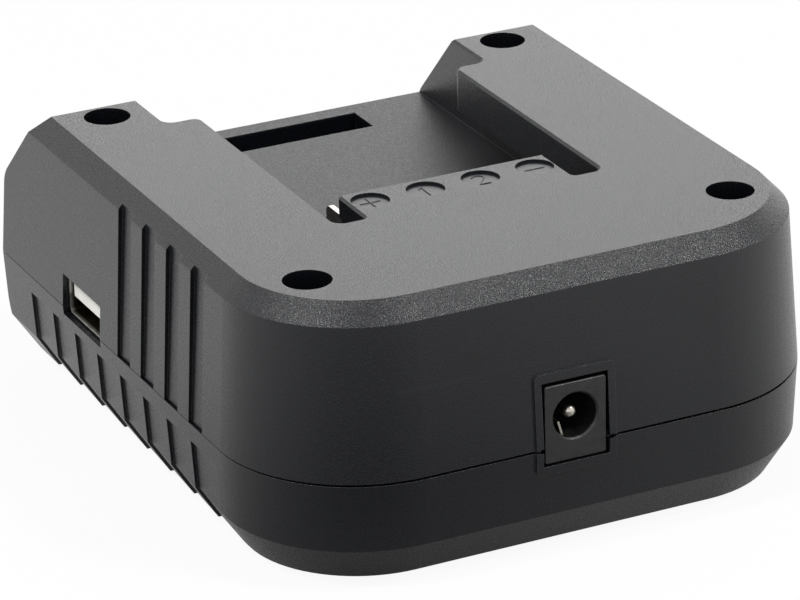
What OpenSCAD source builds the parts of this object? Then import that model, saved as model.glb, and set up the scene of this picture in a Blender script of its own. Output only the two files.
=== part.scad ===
// Battery charger with a slide-in battery bay. A two-part moulded housing has an undercut bay on top,
// a barrel jack in its front and a USB-A socket in its left side, and holds one circuit board.
// Millimetres. +Z is up, the battery enters from +Y and the barrel jack faces -Y.
// The origin is level with the feet's lower faces, under the middle of the outline.

/* [Housing] */
// Width across the parting line
body_w = 84.4; // [82.4:0.2:96]
// Length along the parting line
body_l = 98.5; // [97:0.5:112]
// Height without the feet
body_h = 39.3; // [39:0.1:44]
// Height of the parting line above the underside
part_h = 15; // [14.6:0.1:15.8]
// Plan radius of the two front corners
corner_r = 20.2; // [16:0.1:22]
// Thickness of the side walls
wall_t = 2.2; // [2:0.1:2.6]
// Thickness of the top
top_t = 2.4; // [2:0.1:3]
// Thickness of the floor
floor_t = 2.2; // [1.8:0.1:3]
// Open seam between the two shells, at the sides and the rear
seam_gap = 0.12; // [0.06:0.02:0.2]
// Open seam at the front, where the shells bow apart a little
seam_front = 0.36; // [0.2:0.02:0.5]

/* [Draft and bevels] */
// Inset of the wall where the top bevel starts
shoulder_in = 1.3; // [0.4:0.05:1.6]
// Height of the top bevel
shoulder_drop = 2.73; // [1.5:0.01:3.5]
// Inset of the top face
top_in = 3.88; // [2.8:0.01:4.6]
// Inset of the wall where the bottom bevel starts
knee_in = 0.54; // [0.2:0.01:1]
// Height of the bottom bevel
knee_h = 5.07; // [3:0.01:6]
// Inset of the underside
base_in = 3.7; // [2.4:0.05:4.6]
// Angle of the slope behind the bay, from level
slope_deg = 45; // [40:1:50]
// Drop of that slope below the top face
slope_drop = 12.2; // [11:0.1:14]
// Radius between the slope and the rear wall
slope_r = 4; // [3.2:0.1:6]
// Inset of the rear wall at the slope's foot
rear_in = 0.5; // [0.2:0.05:0.8]
// Radius between the rear wall and the bottom bevel
rear_knee_r = 8; // [3:0.5:10]

/* [Battery bay] */
// Width between the rails
channel_w = 40; // [38:0.1:42]
// Width of the undercut grooves and of the open end
groove_w = 50.2; // [49:0.1:51]
// Depth of the bay floor below the top face
bay_depth = 12; // [11.4:0.1:12.2]
// Thickness of the rails
rail_t = 6.2; // [5:0.1:6.6]
// Distance of the bay's front wall from the housing's front
bay_start = 29.8; // [29.4:0.1:31]
// Length of the open end behind the rails
open_l = 23.1; // [20:0.1:26]
// Radius of the rails' noses and of the corners behind them
nose_r = 1.6; // [0.8:0.1:2.2]
// Radius of the bay's front corners beside the rails
bay_r = 1.5; // [0.6:0.1:2]
// Bevel along the bay's upper edges
bay_edge = 0.35; // [0.1:0.05:0.4]
// Thickness of the bay's walls and floor
bay_t = 2; // [1.6:0.1:2.4]
// Width of the tongue over the terminals
tongue_w = 31.2; // [30:0.1:31.4]
// Length of the tongue
tongue_l = 9.1; // [7:0.1:11]
// Thickness of the tongue
tongue_t = 2.25; // [1.8:0.05:2.5]
// Radius of the tongue's free corners
tongue_r = 0.5; // [0.5:0.1:1]
// Radius where the tongue's sides meet the housing
tongue_root_r = 0.7; // [0.3:0.1:1]
// Diameter of the round recesses on the tongue
dimple_d = 5.4; // [4:0.1:6]
// Depth of the round recesses
dimple_depth = 0.7; // [0.3:0.05:1]
// Width of the latch pocket
latch_w = 25.8; // [22:0.1:30]
// Length of the latch pocket
latch_l = 6.3; // [5:0.1:8]
// Distance of the latch pocket from the rear
latch_back = 4.1; // [3.8:0.1:5]
// Depth of the latch pocket below the bay floor
latch_depth = 5; // [4.2:0.1:6]

/* [Louvres] */
// Distance from one louvre to the next
louvre_pitch = 8.2; // [7.6:0.1:9]
// Distance of the first louvre from the housing's front
louvre_start = 30.7; // [30:0.1:33]
// Louvres on each side of the upper shell
louvre_count = 4; // [2:1:4]
// Length of an upper louvre
louvre_l = 4.5; // [3:0.1:6]
// Depth of an upper louvre at the parting line
louvre_depth = 0.45; // [0.3:0.05:0.6]
// How much deeper an upper louvre is at its top
louvre_lean = 0.2; // [0:0.05:0.3]
// Depth of a lower louvre at its step
shingle_depth = 0.45; // [0.3:0.05:0.8]
// Distance of the lower louvres below the parting line
shingle_drop = 2.8; // [2:0.1:3.5]

/* [Screws and feet] */
// Distance of the housing screws from the sides
screw_side = 10.85; // [10.8:0.05:11.4]
// Distance of the front screws from the front
screw_front = 14.5; // [14:0.1:15.2]
// Distance of the rear screws from the rear
screw_rear = 16.55; // [16.4:0.05:17.5]
// Diameter of the holes over the screws
well_d = 6.64; // [6.2:0.02:7]
// Diameter of the screw heads
head_d = 5.6; // [5:0.1:6]
// Height of the screw heads
head_h = 2.2; // [1.6:0.1:2.6]
// Diameter of the screws
screw_d = 3; // [2.6:0.1:3.4]
// Length of the screws below the head
screw_l = 12; // [9:0.5:15]
// Wall of the bosses round the wells
boss_t = 1.48; // [1.2:0.02:1.6]
// Diameter of the lower bosses
post_d = 8; // [7:0.1:9]
// Height of the seat of the bosses above the parting line
boss_rise = 5.3; // [4.5:0.1:7]
// Plastic under each screw head
seat_t = 2.5; // [2:0.1:3.5]
// Diameter of the feet
foot_d = 10; // [8:0.1:12]
// Thickness of the feet
foot_t = 1.6; // [1.2:0.1:2.4]
// Depth of the seats of the feet
foot_seat = 0.6; // [0.4:0.1:0.9]
// Distance of the feet from the sides
foot_side = 13.2; // [11:0.1:18]
// Distance of the feet from the front and rear
foot_end = 16; // [14:0.1:22]

/* [Barrel jack] */
// Width of the jack's face
jack_w = 9; // [8.6:0.1:9.4]
// Height of the jack's face
jack_h = 11; // [10.6:0.1:11.4]
// Length of the jack
jack_l = 14.2; // [13:0.1:15.5]
// Diameter of the jack's opening
jack_bore = 6.4; // [6.2:0.1:6.8]
// Distance of the opening above the middle of the face
jack_rise = 0.6; // [0.4:0.1:0.9]
// Diameter of the centre pin
pin_d = 2; // [1.6:0.1:2.5]
// Distance of the pin's tip behind the jack's face
pin_back = 0.95; // [0.6:0.05:1.6]
// Depth of the jack's opening
jack_depth = 9.8; // [9:0.1:10.5]
// Gap round the jack
jack_gap = 0.4; // [0.2:0.05:0.5]
// Distance of the jack's face behind the pad
face_back = 0.45; // [0.1:0.05:0.8]
// How far the pad round the jack stands out
pad_proud = 0.35; // [0.2:0.05:0.6]
// Width of the pad beside the jack
pad_side = 1.05; // [0.8:0.05:1.6]
// Width of the pad above and below the jack
pad_end = 1.25; // [1:0.05:1.5]
// Corner radius of the pad
pad_r = 0.8; // [0.4:0.1:1.2]

/* [USB socket] */
// Width of the socket's shell
usb_w = 13.1; // [12.9:0.1:13.3]
// Height of the socket's shell
usb_h = 5.6; // [5.4:0.1:5.8]
// Length of the socket's shell
usb_l = 14; // [13:0.1:16]
// Sheet thickness of the shell
usb_t = 0.3; // [0.25:0.05:0.4]
// Height of the shell above the board
usb_rise = 1.3; // [1:0.05:1.4]
// Distance of the socket's middle from the rear
usb_rear = 30.05; // [28:0.05:31]
// Distance of the socket's mouth behind the side wall
usb_back = 1; // [0.5:0.1:1.3]
// Gap round the socket
usb_gap = 0.3; // [0.2:0.05:0.5]
// Thickness of the plastic tongue in the socket
insulator_t = 1.84; // [1.6:0.02:2]

/* [Terminals] */
// Distance between neighbouring blades
blade_pitch = 8.3; // [7.6:0.1:8.4]
// Thickness of the blades
blade_t = 0.8; // [0.6:0.1:1]
// Height of the blades
blade_h = 4.3; // [3.5:0.1:4.8]
// Distance of the blades below the top face
blade_drop = 5.3; // [4.9:0.1:5.7]
// Length of the blades in the bay
blade_l = 19; // [15:0.1:22]
// Distance of the terminal carrier's face behind the tongue's edge
carrier_back = 0.5; // [0.3:0.1:6]
// Carrier wall outside the outer blades
carrier_side = 2.5; // [2.2:0.1:2.7]
// Clearance between the carrier and its window
fit_gap = 0.1; // [0.05:0.01:0.15]

/* [Circuit board] */
// Height of the board's upper face above the underside
board_h = 12.7; // [12.4:0.1:12.9]
// Thickness of the board
board_t = 1.6; // [1:0.1:2]
// Gap between the board and the housing
board_gap = 1; // [0.5:0.1:1.5]
// Diameter of the board's supports
stand_d = 6; // [5:0.1:7]
// Diameter of the board screws
board_screw_d = 2.2; // [1.8:0.1:2.6]
// Length of the board screws below the head
board_screw_l = 6; // [5:0.5:8]

/* [Board parts] */
// Diameter of the input capacitor
input_cap_d = 10; // [8:0.5:10.5]
// Height of the input capacitor
input_cap_h = 16; // [10:0.5:20]
// Diameter of the output capacitor
output_cap_d = 8; // [6.3:0.1:10]
// Height of the output capacitor
output_cap_h = 12; // [9:0.5:20]
// Diameter of the power inductor
coil_d = 14; // [10:0.5:16]
// Gap between the power inductor and the bay
coil_gap = 3.6; // [2:0.1:5]
// Height of the heat sink
sink_h = 18; // [12:0.5:19]
// Length of the heat sink
sink_l = 28; // [24:0.5:30]
// Width of the heat sink
sink_w = 6.3; // [5:0.1:7]
// Gap between the heat sink and the side wall
sink_gap = 0.4; // [0.2:0.1:1]
// Number of fins on the heat sink
fin_count = 7; // [4:1:8]
// Thickness of the fins
fin_t = 1.2; // [0.8:0.1:1.6]

/* [Hidden] */
$fn = 64;
// How far a cutting shape runs past what it cuts
cut = 1;
// How far ribs and bosses reach into the wall they stand on
root = 0.5;
// How far the shape that bevels an edge runs past it
skim = 0.1;
// How far past the next one's step a lower louvre would run out
shingle_over = 0.5;

// Heights
foot_proud = foot_t - foot_seat;
z_base = foot_proud;
z_top = z_base + body_h;
z_part = z_base + part_h;
z_rim = z_part - seam_gap;
z_knee = z_base + knee_h;
z_shoulder = z_top - shoulder_drop;
z_bay = z_top - bay_depth;
z_rail = z_top - rail_t;
z_slope = z_top - slope_drop;
z_board = z_base + board_h;
z_boss = z_part + boss_rise;
z_seat = z_boss + seat_t;

// Plan positions
y_front = -(body_l - pad_proud) / 2;
y_rear = y_front + body_l;
y_corner = y_front + corner_r;
x_corner = body_w / 2 - corner_r;
x_screw = body_w / 2 - screw_side;
y_screws = [y_front + screw_front, y_rear - screw_rear];
x_foot = body_w / 2 - foot_side;
y_feet = [y_front + foot_end, y_rear - foot_end];
y_bay = y_front + bay_start;
y_nose = y_rear - open_l;
y_latch = y_rear - latch_back - latch_l;

// Bevels: inset for each millimetre of height, and how far their edge moves for each millimetre of depth
top_slope = (top_in - shoulder_in) / shoulder_drop;
base_slope = (base_in - knee_in) / knee_h;
top_turn = tan(atan(top_slope) / 2);
base_turn = tan(atan(base_slope) / 2);

// Lip of the lower shell, which stands in a rebate of the upper one, and the seam's bevels by the jack
lip_t = 0.7;
lip_h = 1.8;
relief_h = 0.2;
relief_l = 0.6;

// Barrel jack
y_face = y_front - pad_proud + face_back;
z_jack = z_board + jack_h / 2;
z_bore = z_jack + jack_rise;
hole_rise = 0.15;
plate_l = 3.4;
plate_r = 0.3;
barrel_r = jack_w / 2 - 0.6;
face_bevel = 0.12;
rim_bevel = 0.25;
shank_d = pin_d + 0.4;
rivet_t = 0.8;
press_gap = 0.02;
leaf_t = 0.3;
leaf_h = 2.4;
leaf_l = 8;
leaf_tilt = 16;
leaf_x = -1.75;
leaf_drop = 2;
leaf_gap = 0.05;

// USB socket
x_mouth = -body_w / 2 + usb_back;
y_usb = y_rear - usb_rear;
z_usb = z_board + usb_rise;
usb_r = 0.7;
usb_end_t = 0.8;
usb_plug_l = 2;
usb_inner = usb_w - 2 * usb_t;
usb_base = 4;
usb_tongue_in = 0.4;
usb_tongue_side = 0.7;
usb_tongue_gap = 0.75;
z_usb_tongue = z_usb + usb_h - usb_t - usb_tongue_gap - insulator_t;
usb_contact_w = 1;
usb_contact_t = 0.2;
usb_contact_ys = [-3.5, -1, 1, 3.5];

// Terminals, from the positive blade at -X to the negative blade at +X
blade_xs = [for (i = [-1.5:1:1.5]) i * blade_pitch];
blade_gap = 0.05;
tip_r = 1;
z_blade = z_top - blade_drop - blade_h;
y_wall = y_bay - bay_t;
flange_t = 3;
flange_edge = 1.5;
leg_l = 2.5;
leg_gap = 0.3;
leg_below = 1;
y_leg = y_wall - flange_t - leg_gap - leg_l;
carrier_x = blade_xs[3] + blade_t / 2 + carrier_side;
carrier_edge = 0.8;
carrier_top = z_top - top_t - carrier_edge;
carrier_low = z_bay + carrier_edge;
y_carrier = y_bay + tongue_l - carrier_back;
dimple_y = y_bay + tongue_l - dimple_d / 2 - 1;

// Circuit board
x_board = body_w / 2 - wall_t - board_gap;
y_board = y_front + wall_t + board_gap;
x_tab = x_screw - post_d / 2 - board_gap;
y_step = y_screws[0] + post_d / 2 + board_gap;
y_board_end = y_screws[1] - post_d / 2 - board_gap;
stand_in = stand_d / 2 + 1;
stand_places = [
  [-x_tab + stand_in, y_board + stand_in + 3],
  [x_tab - stand_in, y_board + stand_in + 3],
  [-x_board + stand_in, y_usb - usb_w / 2 - stand_in - 2],
  [x_board - stand_in, y_board_end - stand_in - 1]];
board_head_d = 4.4;
board_head_h = 1.6;
drill_gap = 0.2;

// Board parts
part_gap = 1;
cap_space = stand_in + board_head_d / 2 + part_gap;
tab_t = 1.3;
case_t = 4.5;
sink_t = 2.4;
sink_end = body_w / 2 - wall_t - shoulder_in - sink_gap;
x_sink = sink_end - sink_w;
y_sink = y_bay + 2;
case_w = 10;
case_l = 9.2;
tab_l = 6.4;
y_case = y_sink + 4;
z_case = z_board + 1;
y_tab_hole = y_case + case_l + tab_l / 2;
z_tab_hole = z_case + case_w / 2;
tab_screw_d = 3;
x_coil = -1;
y_coil = y_bay + tongue_l + coil_d / 2 + 2;
coil_h = z_bay - bay_t - coil_gap - z_board;
coil_rim = 1.5;
diode_gap = 6;
x_chip = -20;
chip_w = 4;
chip_l = 9.9;
chip_h = 1.6;
chip_lift = 0.15;
usb_coil_w = 7;
x_usb_coil = x_mouth + usb_l + usb_end_t + usb_coil_w / 2 + 2 * part_gap;

// ---- Shared forms ----

// A block between two corners
module block(low, high) {
  translate(low) cube(high - low);
}

// A rectangle with round corners, centred
module rounded(w, h, r) {
  square([w - 2 * r, h], center = true);
  square([w, h - 2 * r], center = true);
  for (x = [-1, 1], y = [-1, 1])
    translate([x * (w / 2 - r), y * (h / 2 - r)]) circle(r);
}

// Moves a shape to both sides, mirrored
module both_sides() {
  for (side = [0, 1]) mirror([side, 0, 0]) children();
}

// Inset and height of the lower shell's wall, from the underside up; t is the depth below its outer face
function lower_wall(t) = let (
  low = t > 0 ? floor_t : 0,
  knee = knee_h + base_turn * t) [
  [knee_in + t + (knee - low) * base_slope, z_base + low],
  [knee_in + t, z_base + knee],
  [t, z_rim]];

// The same for the upper shell, from the parting line up
function upper_wall(t) = let (
  high = t > 0 ? top_t : 0,
  turn = shoulder_drop + top_turn * t) [
  [t, z_part],
  [shoulder_in + t, z_top - turn],
  [shoulder_in + t + (turn - high) * top_slope, z_top - high]];

// Side view of the lower shell's rear, in Y and Z: the wall, a round edge and the bevel down to the underside
module lower_rear(t) {
  r = rear_knee_r - t;
  turn = atan(base_slope);
  y_arc = y_rear - rear_knee_r;
  z_arc = z_base + base_in / base_slope + rear_knee_r * tan(turn / 2);
  polygon([
    [y_front - cut, z_base - cut],
    [y_rear - base_in - cut * base_slope - t / cos(turn), z_base - cut],
    [y_arc + r * cos(turn), z_arc - r * sin(turn)],
    [y_arc, z_arc],
    [y_arc + r, z_arc],
    [y_rear - t, z_rim + cut],
    [y_front - cut, z_rim + cut]]);
  translate([y_arc, z_arc]) circle(r);
}

// Side view of the upper shell's rear: the wall, a round edge and the slope up to the top
module upper_rear(t) {
  r = slope_r - t;
  turn = 90 - slope_deg;
  y_arc = y_rear - rear_in - slope_r;
  z_arc = z_slope - slope_r * tan(turn / 2);
  z_high = z_top + cut;
  polygon([
    [y_front - cut, z_part - cut],
    [y_rear - t, z_part - cut],
    [y_rear - t, z_part],
    [y_arc + r, z_arc],
    [y_arc, z_arc],
    [y_arc + r * cos(turn), z_arc + r * sin(turn)],
    [y_arc + (r - (z_high - z_arc) * sin(turn)) / cos(turn), z_high],
    [y_front - cut, z_high]]);
  translate([y_arc, z_arc]) circle(r);
}

// A shell form with straight sides and round front corners, cut at the rear by the side view given as child
module form(wall) {
  last = len(wall) - 1;
  intersection() {
    union() {
      translate([0, y_rear + cut, 0]) rotate([90, 0, 0])
        linear_extrude(y_rear + cut - y_corner)
          polygon(concat(
            [for (p = wall) [body_w / 2 - p[0], p[1]]],
            [for (i = [last:-1:0]) [wall[i][0] - body_w / 2, wall[i][1]]]));
      rotate([90, 0, 90]) linear_extrude(2 * x_corner, center = true)
        polygon(concat(
          [for (p = wall) [y_front + p[0], p[1]]],
          [[y_corner, wall[last][1]], [y_corner, wall[0][1]]]));
      for (side = [0, 1])
        translate([side == 0 ? -x_corner : x_corner, y_corner, 0])
          rotate([0, 0, 180 + 90 * side]) rotate_extrude(angle = 90)
            polygon(concat(
              [for (p = wall) [corner_r - p[0], p[1]]],
              [[0, wall[last][1]], [0, wall[0][1]]]));
    }
    rotate([90, 0, 90]) linear_extrude(body_w + 2 * cut, center = true) children();
  }
}

// A straight-sided band of the outline between two heights
module band(t, low, high) {
  form([[t, low], [t, high]])
    translate([y_front - cut, low - cut]) square([body_l + cut - t, high - low + 2 * cut]);
}

// A pan head screw with a cross recess, head up, with its seat at the origin
module screw(d, length, head, height) {
  rim_h = height * 0.6;
  crown_d = head * 0.7;
  recess_l = head * 0.6;
  recess_w = head * 0.16;
  recess_h = height * 0.5;
  translate([0, 0, -length]) cylinder(d = d, h = length + height - recess_h);
  difference() {
    union() {
      cylinder(d = head, h = rim_h);
      translate([0, 0, rim_h]) cylinder(d1 = head, d2 = crown_d, h = height - rim_h);
    }
    translate([0, 0, height]) {
      cube([recess_l, recess_w, 2 * recess_h], center = true);
      cube([recess_w, recess_l, 2 * recess_h], center = true);
    }
  }
}

// ---- Openings that cross both shells ----

// Hole round the barrel jack
module jack_hole() {
  half = jack_w / 2 + jack_gap;
  block(
    [-half, y_front - pad_proud - cut, z_board + hole_rise - jack_gap],
    [half, y_front + 3 * wall_t, z_board + hole_rise + jack_h + jack_gap]);
}

// Hole round the USB socket
module usb_hole() {
  half = usb_w / 2 + usb_gap;
  block(
    [-body_w / 2 - cut, y_usb - half, z_usb - usb_gap],
    [-body_w / 2 + 3 * wall_t, y_usb + half, z_usb + usb_h + usb_gap]);
}

// Outline of the pad round the jack, as a bar along Y
module pad_bar() {
  translate([0, y_corner, z_jack + hole_rise]) rotate([90, 0, 0])
    linear_extrude(y_corner - y_front + pad_proud + cut)
      rounded(jack_w + 2 * (jack_gap + pad_side), jack_h + 2 * (jack_gap + pad_end), pad_r);
}

// Bevels of one seam edge where it meets the jack's hole: side is 1 above the seam and -1 below it
module seam_relief(z, side) {
  low = jack_w / 2 + jack_gap;
  both_sides() translate([0, y_front + relief_l, 0]) rotate([90, 0, 0])
    linear_extrude(relief_l + pad_proud + cut)
      polygon([
        [low - cut, z - side * seam_gap / 2],
        [low + pad_side, z - side * seam_gap / 2],
        [low + pad_side, z],
        [low, z + side * relief_h],
        [low - cut, z + side * relief_h]]);
}

// ---- Upper housing ----

// What fills a corner between a wall along X and one along Y, leaving it round
module inner_corner(r) {
  difference() {
    translate([-cut, -cut]) square(r + cut);
    translate([r, r]) circle(r);
  }
}

// Plan of the bay's opening above the grooves: the channel, its open end and their round corners
module bay_plan() {
  half = channel_w / 2;
  wide = groove_w / 2;
  difference() {
    union() {
      difference() {
        translate([-half, y_bay]) square([channel_w, y_rear + cut - y_bay]);
        both_sides() translate([half, y_bay]) rotate(90) inner_corner(bay_r);
      }
      translate([-wide, y_nose]) square([groove_w, y_rear + cut - y_nose]);
      both_sides() difference() {
        translate([half - cut, y_nose - nose_r]) square([nose_r + cut, nose_r + cut]);
        translate([half + nose_r, y_nose - nose_r]) circle(nose_r);
      }
    }
    both_sides() difference() {
      translate([wide - nose_r, y_nose - cut]) square([nose_r + cut, nose_r + cut]);
      translate([wide - nose_r, y_nose + nose_r]) circle(nose_r);
    }
  }
}

// The space that the battery slides into, with the tongue and its recesses left standing
module bay_space() {
  difference() {
    union() {
      translate([0, 0, z_rail]) linear_extrude(rail_t + cut) bay_plan();
      block([-groove_w / 2, y_bay, z_bay], [groove_w / 2, y_rear + cut, z_rail]);
    }
    tongue();
  }
  block(
    [-latch_w / 2, y_latch, z_bay - latch_depth],
    [latch_w / 2, y_latch + latch_l, z_bay + cut]);
}

// The plate over the terminals, with one round recess over each blade
module tongue() {
  half = tongue_w / 2;
  difference() {
    translate([0, 0, z_top - tongue_t]) linear_extrude(tongue_t) {
      difference() {
        translate([-half, y_bay - cut]) square([tongue_w, tongue_l + cut]);
        both_sides() translate([half, y_bay + tongue_l]) rotate(180) inner_corner(tongue_r);
      }
      both_sides() translate([half, y_bay]) inner_corner(tongue_root_r);
    }
    for (x = blade_xs)
      translate([x, dimple_y, z_top - dimple_depth]) cylinder(d = dimple_d, h = dimple_depth + cut);
  }
}

// What bevels an upper edge: the edge lies at r, and side is 1 with the material beyond it, -1 with it within
module edge_profile(r, side) {
  run = bay_edge + skim;
  polygon([
    [r - side * skim, z_top + skim],
    [r + side * run, z_top + skim],
    [r - side * skim, z_top - run]]);
}

// The same along a straight edge towards +Y, with the material at +X or -X
module straight_edge(length, side) {
  translate([0, length, 0]) rotate([90, 0, 0]) linear_extrude(length) edge_profile(0, side);
}

// The same round a quarter turn from the angle given
module round_edge(r, side, start) {
  rotate([0, 0, start]) rotate_extrude(angle = 90) edge_profile(r, side);
}

// Bevels along the upper edges of the rails, the open end and the tongue
module bay_edges() {
  half = channel_w / 2;
  wide = groove_w / 2;
  tongue_x = tongue_w / 2;
  y_tip = y_bay + tongue_l;
  both_sides() {
    translate([half, y_bay + bay_r, 0]) straight_edge(y_nose - nose_r - y_bay - bay_r, 1);
    translate([half + nose_r, y_nose, 0]) rotate([0, 0, -90]) straight_edge(wide - half - 2 * nose_r, 1);
    translate([wide, y_nose + nose_r, 0]) straight_edge(open_l + cut - nose_r, 1);
    translate([tongue_x + tongue_root_r, y_bay, 0]) rotate([0, 0, -90])
      straight_edge(half - bay_r - tongue_x - tongue_root_r, 1);
    translate([tongue_x, y_bay + tongue_root_r, 0]) straight_edge(tongue_l - tongue_root_r - tongue_r, -1);
    translate([0, y_tip, 0]) rotate([0, 0, -90]) straight_edge(tongue_x - tongue_r, 1);
    translate([half - bay_r, y_bay + bay_r, 0]) round_edge(bay_r, 1, -90);
    translate([half + nose_r, y_nose - nose_r, 0]) round_edge(nose_r, -1, 90);
    translate([wide - nose_r, y_nose + nose_r, 0]) round_edge(nose_r, 1, -90);
    translate([tongue_x + tongue_root_r, y_bay + tongue_root_r, 0]) round_edge(tongue_root_r, 1, 180);
    translate([tongue_x - tongue_r, y_tip - tongue_r, 0]) round_edge(tongue_r, -1, 0);
  }
}

// The bay's walls and floor, and the walls of the latch pocket
module bay_walls() {
  intersection() {
    union() {
      block(
        [-groove_w / 2 - bay_t, y_wall, z_bay - bay_t],
        [groove_w / 2 + bay_t, y_rear + cut, z_top + cut]);
      block(
        [-latch_w / 2 - bay_t, y_latch - bay_t, z_bay - bay_t - latch_depth],
        [latch_w / 2 + bay_t, y_rear + cut, z_bay]);
    }
    form(upper_wall(0)) upper_rear(0);
  }
}

// Ribs that back the terminal carrier
module carrier_ribs() {
  rib_t = 1.5;
  rib_h = 9;
  rib_l = 4;
  y_rib = y_wall - flange_t - fit_gap;
  for (x = [-blade_pitch, 0, blade_pitch])
    block(
      [x - rib_t / 2, y_rib - rib_l, z_top - top_t - rib_h],
      [x + rib_t / 2, y_rib, z_top - top_t + root]);
}

// Window in the bay's front wall for the terminal carrier
module carrier_window() {
  block(
    [-carrier_x - fit_gap, y_wall - cut, carrier_low - fit_gap],
    [carrier_x + fit_gap, y_bay + cut, carrier_top + fit_gap]);
}

// Tubes under the screw wells
module upper_bosses() {
  for (x = [-x_screw, x_screw], y = y_screws)
    translate([x, y, z_boss]) cylinder(d = well_d + 2 * boss_t, h = z_top - top_t + root - z_boss);
}

// Wells for the screw heads, and the holes for the screws
module screw_wells() {
  for (x = [-x_screw, x_screw], y = y_screws) {
    translate([x, y, z_seat]) cylinder(d = well_d, h = z_top - z_seat + cut);
    translate([x, y, z_boss - cut]) cylinder(d = screw_d + 2 * drill_gap, h = seat_t + 2 * cut);
  }
}

// Flat-bottomed louvres of one side, cut in from outside
module upper_louvres() {
  x_wall = -body_w / 2;
  corner = upper_wall(louvre_depth + louvre_lean)[1];
  for (i = [0:louvre_count - 1])
    translate([0, y_front + louvre_start + i * louvre_pitch, 0]) rotate([90, 0, 0])
      linear_extrude(louvre_l)
        polygon([
          [x_wall - cut, z_part - cut],
          [x_wall + louvre_depth, z_part - cut],
          [x_wall + louvre_depth, z_part],
          [x_wall + corner[0], corner[1]],
          [x_wall + corner[0], z_top + cut],
          [x_wall - cut, z_top + cut]]);
}

// Rebate inside the upper shell's rim for the lip
module lip_rebate() {
  difference() {
    band(wall_t - lip_t - fit_gap, z_part - cut, z_part + lip_h + fit_gap);
    band(wall_t + cut, z_part - 2 * cut, z_part + lip_h + cut);
  }
}

module upper_housing() {
  color("#3a3a3c") difference() {
    union() {
      difference() {
        form(upper_wall(0)) upper_rear(0);
        form(concat([[wall_t, z_part - cut]], upper_wall(wall_t))) upper_rear(wall_t);
      }
      bay_walls();
      carrier_ribs();
      upper_bosses();
      intersection() {
        form(upper_wall(-pad_proud)) upper_rear(0);
        pad_bar();
        block([-body_w, y_front - cut, z_part], [body_w, y_front + wall_t, z_top]);
      }
    }
    bay_space();
    bay_edges();
    carrier_window();
    screw_wells();
    both_sides() upper_louvres();
    lip_rebate();
    jack_hole();
    seam_relief(z_part, 1);
    usb_hole();
  }
}

// ---- Lower housing ----

// Wedge-shaped louvres of one side, which run down the wall and round its bevel to the underside.
// Each is deepest at its rear step and all but run out where the next one steps in.
module lower_louvres() {
  wall_tilt = atan(knee_in / (z_rim - z_knee));
  bevel_tilt = atan(base_slope);
  bevel_l = knee_h / cos(bevel_tilt);
  count = floor((body_l - louvre_start - 2 * wall_t - slope_r) / louvre_pitch) + 1;
  for (i = [0:count - 1])
    translate([-body_w / 2 + knee_in, y_front + louvre_start + i * louvre_pitch, z_knee]) {
      shingle(wall_tilt, -cut, z_part - shingle_drop - z_knee);
      shingle(bevel_tilt, -bevel_l - cut, cut);
    }
}

// One wedge along a wall that leans outwards by the tilt, between two places on it
module shingle(tilt, low, high) {
  run = louvre_pitch + shingle_over;
  rotate([0, -tilt, 0]) translate([0, 0, low]) linear_extrude(high - low)
    polygon([
      [-2 * cut, 0],
      [shingle_depth, 0],
      [-shingle_depth, -2 * run],
      [-2 * cut, -2 * run]]);
}

// What opens the seam towards the front, outside the lip and from where the front corners start
module seam_wedge() {
  difference() {
    rotate([90, 0, 90]) linear_extrude(body_w + 2 * cut, center = true)
      polygon([
        [y_corner, z_rim],
        [y_front + wall_t, z_part - seam_front],
        [y_front - cut, z_part - seam_front],
        [y_front - cut, z_rim + cut],
        [y_corner, z_rim + cut]]);
    band(wall_t - lip_t, z_rim - cut, z_rim + 2 * cut);
  }
}

// Posts that take the housing screws
module lower_posts() {
  low = z_base + floor_t - root;
  for (x = [-x_screw, x_screw], y = y_screws)
    translate([x, y, low]) cylinder(d = post_d, h = z_boss - low);
}

// Posts that carry the circuit board
module board_stands() {
  low = z_base + floor_t - root;
  for (p = stand_places)
    translate([p[0], p[1], low]) cylinder(d = stand_d, h = z_board - board_t - low);
}

// Holes that the screws cut their threads in, and the seats of the feet
module lower_holes() {
  below = 1;
  for (x = [-x_screw, x_screw], y = y_screws)
    translate([x, y, z_seat - screw_l - below])
      cylinder(d = screw_d + 2 * press_gap, h = screw_l + below);
  for (p = stand_places)
    translate([p[0], p[1], z_board - board_screw_l - below])
      cylinder(d = board_screw_d + 2 * press_gap, h = board_screw_l + below);
  for (x = [-x_foot, x_foot], y = y_feet)
    translate([x, y, z_base - cut]) cylinder(d = foot_d, h = foot_seat + cut);
}

module lower_housing() {
  color("#343436") difference() {
    union() {
      difference() {
        union() {
          difference() {
            form(lower_wall(0)) lower_rear(0);
            form(concat(lower_wall(wall_t), [[wall_t, z_rim + cut]])) lower_rear(wall_t);
          }
          intersection() {
            form(lower_wall(-pad_proud)) lower_rear(0);
            pad_bar();
            block([-body_w, y_front - cut, z_base], [body_w, y_front + wall_t, z_rim]);
          }
        }
        seam_wedge();
      }
      difference() {
        band(wall_t - lip_t, z_rim - cut, z_part + lip_h);
        band(wall_t, z_rim - 2 * cut, z_part + lip_h + cut);
      }
      lower_posts();
      board_stands();
    }
    lower_holes();
    both_sides() lower_louvres();
    jack_hole();
    seam_relief(z_part - seam_front, -1);
    usb_hole();
  }
}

// ---- Housing screws and feet ----

module housing_screws() {
  color("#b9b9bb") for (x = [-x_screw, x_screw], y = y_screws)
    translate([x, y, z_seat]) screw(screw_d, screw_l, head_d, head_h);
}

// Feet pressed into their seats, with a bevelled edge below
module rubber_feet() {
  edge = 0.4;
  color("#202020") for (x = [-x_foot, x_foot], y = y_feet)
    translate([x, y, 0]) {
      cylinder(d1 = foot_d - 2 * edge, d2 = foot_d, h = edge);
      translate([0, 0, edge]) cylinder(d = foot_d, h = foot_t - edge);
    }
}

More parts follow.
